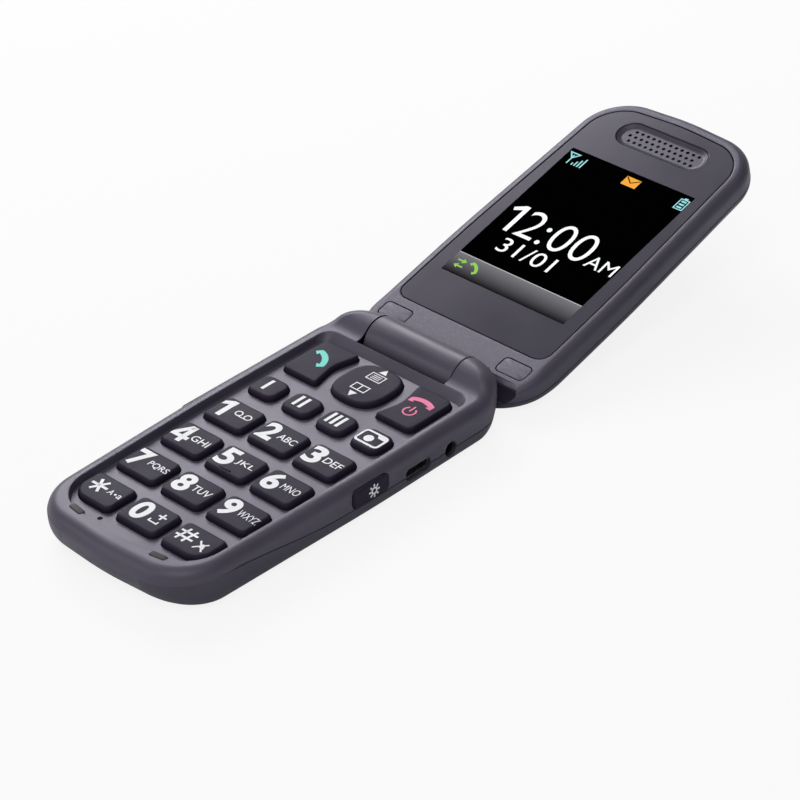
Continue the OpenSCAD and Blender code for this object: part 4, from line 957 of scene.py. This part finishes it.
def lid_front():
    rings = [lid_ring(LID_PART, SEAM_EDGE + 0.001, SEAM)]
    rings += [lid_ring(LID_PART, SEAM_EDGE * s, SEAM + SEAM_EDGE * c) for s, c in bend(30, 60, 90)]
    rings += [lid_ring(f) for f in (0.5, 0.44, 0.38)]
    rings += [lid_ring(LID_FRONT_R * s / LID_T) for s, c in bend(*np.linspace(0, 90, 14)[1:])]
    rings += [ring(lid_match(window_plan(out), rings[0][:, :2]), z)
              for out, z in ((0.22, 0.0), (0.06, -0.05), (0.0, -0.2), (0.0, -WINDOW_T))]
    return loft("lid_front", rings)


def knuckle_room():
    hollow = circle(HOLLOW_R, 0, FACE_DROP, 128)
    return [prism_x("room", hollow, *sorted((s * BARREL_HALF, s * HOLLOW_HALF))) for s in (-1, 1)]


def hollow_edge():
    """Front edge of the knuckles' room, rounded to clear the base's fairing when closed."""
    r = FAIRING_R - LID_GAP
    c = np.array([HINGE_Y - FAIRING_Y, -r])
    end = math.atan2(c[0], FACE_DROP + r)
    p = [c + r * np.array([-math.sin(a), math.cos(a)]) for a in np.linspace(0, end, 24)]
    p = np.array([*p, (0, FACE_DROP), (c[0], FACE_DROP)])[::-1]
    return prism_x("room_edge", p, -HOLLOW_HALF, HOLLOW_HALF)


lid = lid_front()
cut(lid, *knuckle_room(), hollow_edge(), prism("inside", lid_cavity, -LID_T - 1, -WINDOW_T - WALL),
    *[prism("seat", plug_outline(s * PLUG_X, 0.13), -1.0, 1) for s in (-1, 1)])
add(lid, barrel())
cut(lid, prism_x("bore", circle(1.65, 0, FACE_DROP, 48), -BARREL_HALF - 1, -BARREL_HALF + 6.5),
    prism_x("bore", circle(2.5, 0, FACE_DROP, 64), BARREL_HALF - 4.3, BARREL_HALF + 1))


def on_face(c, n):
    return n.z > 0.96 and -0.3 < c.z < 0.05


def in_seam(c, n):
    """Walls of the window's recess and of the plugs' seats, which get painted shade."""
    if c.z > -0.02 or c.z < -1.05:
        return False
    plug = abs(abs(c.x) - PLUG_X) < PLUG_W / 2 + 0.2 and abs(c.y - PLUG_D) < PLUG_L / 2 + 0.25
    return plug or (abs(n.z) < 0.5 and c.x * n.x + (c.y - DISPLAY_D) * n.y < 0 and c.y > 14)


def in_hollow(c, n):
    """Walls of the room for the base's knuckles, which get painted shade."""
    d = math.hypot(c.y, c.z - FACE_DROP)
    inwards = n.y * c.y + n.z * (c.z - FACE_DROP) < -0.8 * d
    return abs(c.x) > BARREL_HALF and abs(d - HOLLOW_R) < 0.2 and inwards


# Slot 2 paints shade on the walls of the window's recess and of the plugs' seats
# Slot 3 paints shade on the walls of the room for the base's knuckles
paint(lid, [(1, on_face), (2, in_seam), (3, in_hollow)])
finish_piece(lid, "lid", [lid_side_mat, lid_frame_mat, painted_seam_shade, hollow_painted_shade], ["lid_front_housing"],
             flat=lambda c, n: n.z > 0.9999 and abs(c.z) < 0.002)


def lid_rear():
    rings = [lid_ring(1 - LID_BACK_R * c / LID_T) for s, c in bend(*np.linspace(0, 80, 14))]
    rings += [lid_ring(LID_PART, SEAM_EDGE * s, -SEAM - SEAM_EDGE * c) for s, c in bend(90, 60, 30, 0)]
    return loft("lid_back", rings)


lid_back = lid_rear()
inner_side = np.array([[HEEL_D + 2, 1], [HEEL_D + 2, -HEEL_T + 1.0], [HEEL_END + HEEL_BLEND, -LID_T + WALL],
                       [REACH, -LID_T + WALL], [REACH, 1]], float)
inside = combine(prism("inside", lid_cavity, -LID_T - 1, 1), [prism_x("side", inner_side, -HALF_W, HALF_W)],
                 "INTERSECT")
camera_hole = prism("camera_hole", circle(4.05, 0, CAMERA_D, 96), -LID_T - 1, -LID_T + 2)
combine(lid_back, [inside, *knuckle_room(), camera_hole], "DIFFERENCE", "MANIFOLD")
lid_back.data.materials.clear()  # this solver leaves an empty slot
# Painted shade on the walls of the room for the base's knuckles
paint(lid_back, [(1, in_hollow)])
finish_piece(lid_back, "lid", [lid_back_mat, hollow_painted_shade], ["lid_rear_housing"])

# Window with its earpiece opening
window = stack("window_panel", window_plan(-0.2), ((0, -WINDOW_T), (0, -0.14), (0.04, -0.04), (0.14, 0)),
               "ladder")
ear = box_outline(26, 8, 3.99, 0, EAR_D, 24)
cut(window, stack("ear_cut", ear, ((0, -2), (0, -0.35), (-0.1, -0.1), (-0.3, 0.01), (-0.3, 1)), "flat"))
finish_piece(window, "lid", [window_mat], ["display_window"], angle=20)

EAR_PITCH = 1.72
grille = stack("earpiece_dish", ear, ((0.06, -1.0), (0.06, -0.3), (0.12, -0.2), (0.3, -0.28), (0.7, -0.52),
                                      (1.1, -0.72), (1.4, -0.78)), "flat")
holes = [prism("hole", circle(0.46, (k - 5.5 + shift) * EAR_PITCH, EAR_D + row * EAR_PITCH, 20), -0.94, 1)
         for row, shift in ((-1, 0.25), (0, -0.25), (1, 0.25)) for k in range(12)]
combine(grille, [merged("holes", holes)], "DIFFERENCE", "MANIFOLD")
grille.data.materials.clear()
# Painted shade in the holes of the earpiece's dish and under it
paint(grille, [(1, lambda c, n: c.z < -0.8)])
finish_piece(grille, "lid", [grille_mat, painted_seam_shade], ["earpiece_grille"])

for side, name in ((-1, "plug_left"), (1, "plug_right")):
    plug = stack(name, plug_outline(side * PLUG_X, -0.12), ((0, -0.95), (0, -0.15), (0.05, -0.04), (0.16, 0)))
    finish_piece(plug, "lid", [lid_frame_mat], ["screw_plugs"])

# Display, set flush into the window's face; its prints are placed from its middle
screen = prism("display_panel", box_outline(VIEW_W, VIEW_L, 0, 0, DISPLAY_D), -0.3, 0.006)
white = [poly((-13.5, -6.9), (-13.5, 2.5), (-14.7, 2.5), (-17.4, 0.8), (-16.9, -0.2), (-14.75, 0.9),
              (-14.75, -6.9)), text_shape("2:00", (-11.9, -6.9, 9.2, 2.5), -0.008),
         text_shape("AM", (9.9, -6.9, 18.2, -2.9)), text_shape("31/01", (-12.0, -13.2, 4.2, -8.4))]
cyan = [stroke([(-16.6, 19.3), (-16.6, 22.6)], 0.35),
        stroke([(-18.0, 23.2), (-15.2, 23.2), (-16.6, 21.4)], 0.35, True)]
cyan += [stroke([(-15.2 + 0.85 * k, 19.4), (-15.2 + 0.85 * k, 20.2 + 0.85 * k)], 0.4) for k in range(4)]
cyan += [frame_box(16.0, 19.5, 18.4, 22.9, 0.3), stroke([(16.7, 23.25), (17.7, 23.25)], 0.5)]
cyan += [stroke([(16.5, y), (17.9, y)], 0.55) for y in (20.2, 21.2, 22.2)]
orange = [poly((-0.4, 20.0), (3.9, 20.0), (3.9, 23.0), (-0.4, 23.0))]
dark = [stroke([(-0.2, 22.8), (1.75, 21.2), (3.7, 22.8)], 0.3)]
BAR_X = VIEW_W / 2 - 0.03
bar = [poly((-BAR_X, -24.55), (BAR_X, -24.55), (BAR_X, -17.95), (-BAR_X, -17.95))]
line = [stroke([(-BAR_X, -17.8), (BAR_X, -17.8)], 0.24)]
green = [turned(handset(-12.0, -20.5, 3.9, 0.9), -46.5, -12.1, -20.9),
         stroke([(-17.2, -20.1), (-15.6, -20.1)], 0.45), poly((-15.7, -19.3), (-14.5, -20.1), (-15.7, -20.9)),
         stroke([(-16.1, -21.9), (-14.5, -21.9)], 0.45), poly((-16.0, -21.1), (-17.2, -21.9), (-16.0, -22.7))]
for shapes, slot in ((bar, 5), (line, 7), (white, 1), (cyan, 2), (orange, 3), (green, 4), (dark, 6)):
    printed(screen, [placed(s, 0, DISPLAY_D) for s in shapes], slot, 0.004 if slot == 5 else 0.006, step=0)
finish_piece(screen, "lid", [panel_mat, glow_white, glow_cyan, glow_orange, glow_green, bar_mat, glow_dark,
                             glow_line], ())

# Finish of the CAD pieces that stay
FINISH = {
    steel_mat: ("usb_socket", "vibration_motor", "housing_screws", "hinge_cartridge", "hinge_bush",
                "lid_screws", "lid_magnet"),
    black_mat: ("headset_jack", "loudspeaker", "chassis", "earpiece_receiver", "camera_module"),
    gold_mat: ("microphone", "battery_contacts"), tin_mat: ("sim_holder", "shield_cans"),
    flex_mat: ("antenna", "hinge_flex_base", "hinge_flex_lid"), board_mat: ("main_board", "lid_board"),
    cell_mat: ("battery_pack",), film_mat: ("dome_sheet",), silicone_mat: ("key_mat",),
    panel_mat: ("display_module",), lens_mat: ("camera_window",)}
MATERIAL_OF = {name: material for material, names in FINISH.items() for name in names}
for name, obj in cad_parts.items():
    obj.data.materials.clear()
    obj.data.materials.append(MATERIAL_OF.get(name, shell))

# Floor, lights and camera
def camera_mix(nodes, links, lit, plain, out, share):
    """Lets the camera see a plain shader in place of the one that lights the scene, by a share."""
    path = nodes.new("ShaderNodeLightPath")
    part = nodes.new("ShaderNodeMath")
    part.operation = "MULTIPLY"
    part.inputs[1].default_value = share
    join = nodes.new("ShaderNodeMixShader")
    links.new(path.outputs["Is Camera Ray"], part.inputs[0])
    links.new(part.outputs[0], join.inputs[0])
    links.new(lit.outputs[0], join.inputs[1])
    links.new(plain.outputs[0], join.inputs[2])
    links.new(join.outputs[0], out.inputs[0])


floor_mat, nodes, links, shader = node_set("floor_white")
set_inputs(shader, {"Base Color": (0.86, 0.86, 0.86, 1), "Roughness": 0.9, "Specular IOR Level": 0.0})
flat_white = nodes.new("ShaderNodeEmission")
flat_white.inputs["Strength"].default_value = 1.0
camera_mix(nodes, links, shader, flat_white, shader.outputs[0].links[0].to_node, 0.86)
FAR = 4000
floor = new_object("floor", [(-FAR, -FAR, 0), (FAR, -FAR, 0), (FAR, FAR, 0), (-FAR, FAR, 0)], [[0, 1, 2, 3]])
floor.data.transform(Matrix.Scale(MM, 4))
floor.data.materials.append(floor_mat)

world = bpy.data.worlds.new("studio")
bpy.context.scene.world = world
world.use_nodes = True
nodes, links = world.node_tree.nodes, world.node_tree.links
nodes.clear()
out = nodes.new("ShaderNodeOutputWorld")
where = nodes.new("ShaderNodeTexCoord")
split = nodes.new("ShaderNodeSeparateXYZ")
links.new(where.outputs["Generated"], split.inputs[0])
ramp = nodes.new("ShaderNodeValToRGB")
ramp.color_ramp.elements[0].color = (0.85, 0.85, 0.86, 1)
ramp.color_ramp.elements[1].color = (0.5, 0.5, 0.51, 1)
for where_at, value in ((0.08, 0.42), (0.35, 0.26), (0.62, 0.14), (0.85, 0.3)):
    e = ramp.color_ramp.elements.new(where_at)
    e.color = (value, value, value * 1.02, 1)
links.new(split.outputs["Z"], ramp.inputs[0])
sky = nodes.new("ShaderNodeBackground")
links.new(ramp.outputs[0], sky.inputs[0])
card = nodes.new("ShaderNodeVectorMath")
card.operation = "DOT_PRODUCT"
card.inputs[1].default_value = (0.40, 0.74, 0.54)
links.new(where.outputs["Generated"], card.inputs[0])
links.new(remap(nodes, links, card.outputs["Value"], 0.72, 0.93, 1.0, 0.06), sky.inputs["Strength"])
plain = nodes.new("ShaderNodeBackground")
plain.inputs[0].default_value = (1, 1, 1, 1)
camera_mix(nodes, links, sky, plain, out, 1.0)

AIM = Vector((0, 0.03, 0.01))


def softbox(name, azimuth, elevation, distance, width, height, power):
    a, e = math.radians(azimuth), math.radians(elevation)
    way = Vector((math.cos(a) * math.cos(e), math.sin(a) * math.cos(e), math.sin(e)))
    data = bpy.data.lights.new(name, "AREA")
    data.shape, data.size, data.size_y, data.energy = "RECTANGLE", width, height, power
    obj = bpy.data.objects.new(name, data)
    obj.location = AIM + distance * way
    obj.rotation_euler = (-way).to_track_quat("-Z", "Y").to_euler()
    bpy.context.scene.collection.objects.link(obj)


softbox("back_left", 150, 33, 0.8, 0.6, 0.34, 4.2)
softbox("top_front", -60, 62, 1.4, 0.9, 0.9, 5.5)
softbox("front_left", -125, 28, 1.5, 0.9, 0.5, 2.5)

CAMERA_AT, LENS = (0.394025, -0.375917, 0.380851), 136.853
AZIMUTH, ELEVATION, ROLL = math.radians(43.48815), math.radians(33.63070), math.radians(-1.13235)
right = Vector((math.cos(AZIMUTH), math.sin(AZIMUTH), 0))
behind = Vector((math.sin(AZIMUTH) * math.cos(ELEVATION), -math.cos(AZIMUTH) * math.cos(ELEVATION),
                 math.sin(ELEVATION)))
up = behind.cross(right)
side_on = right * math.cos(ROLL) + up * math.sin(ROLL)
up_on = up * math.cos(ROLL) - right * math.sin(ROLL)
camera = bpy.data.objects.new("camera", bpy.data.cameras.new("camera"))
turn = Matrix((side_on, up_on, behind)).transposed().to_4x4()
camera.matrix_world = Matrix.Translation(CAMERA_AT) @ turn
camera.data.lens, camera.data.sensor_width = LENS, 36.0
camera.data.clip_start = 0.05
bpy.context.scene.collection.objects.link(camera)
bpy.context.scene.camera = camera
bpy.context.scene.view_settings.view_transform = "Standard"
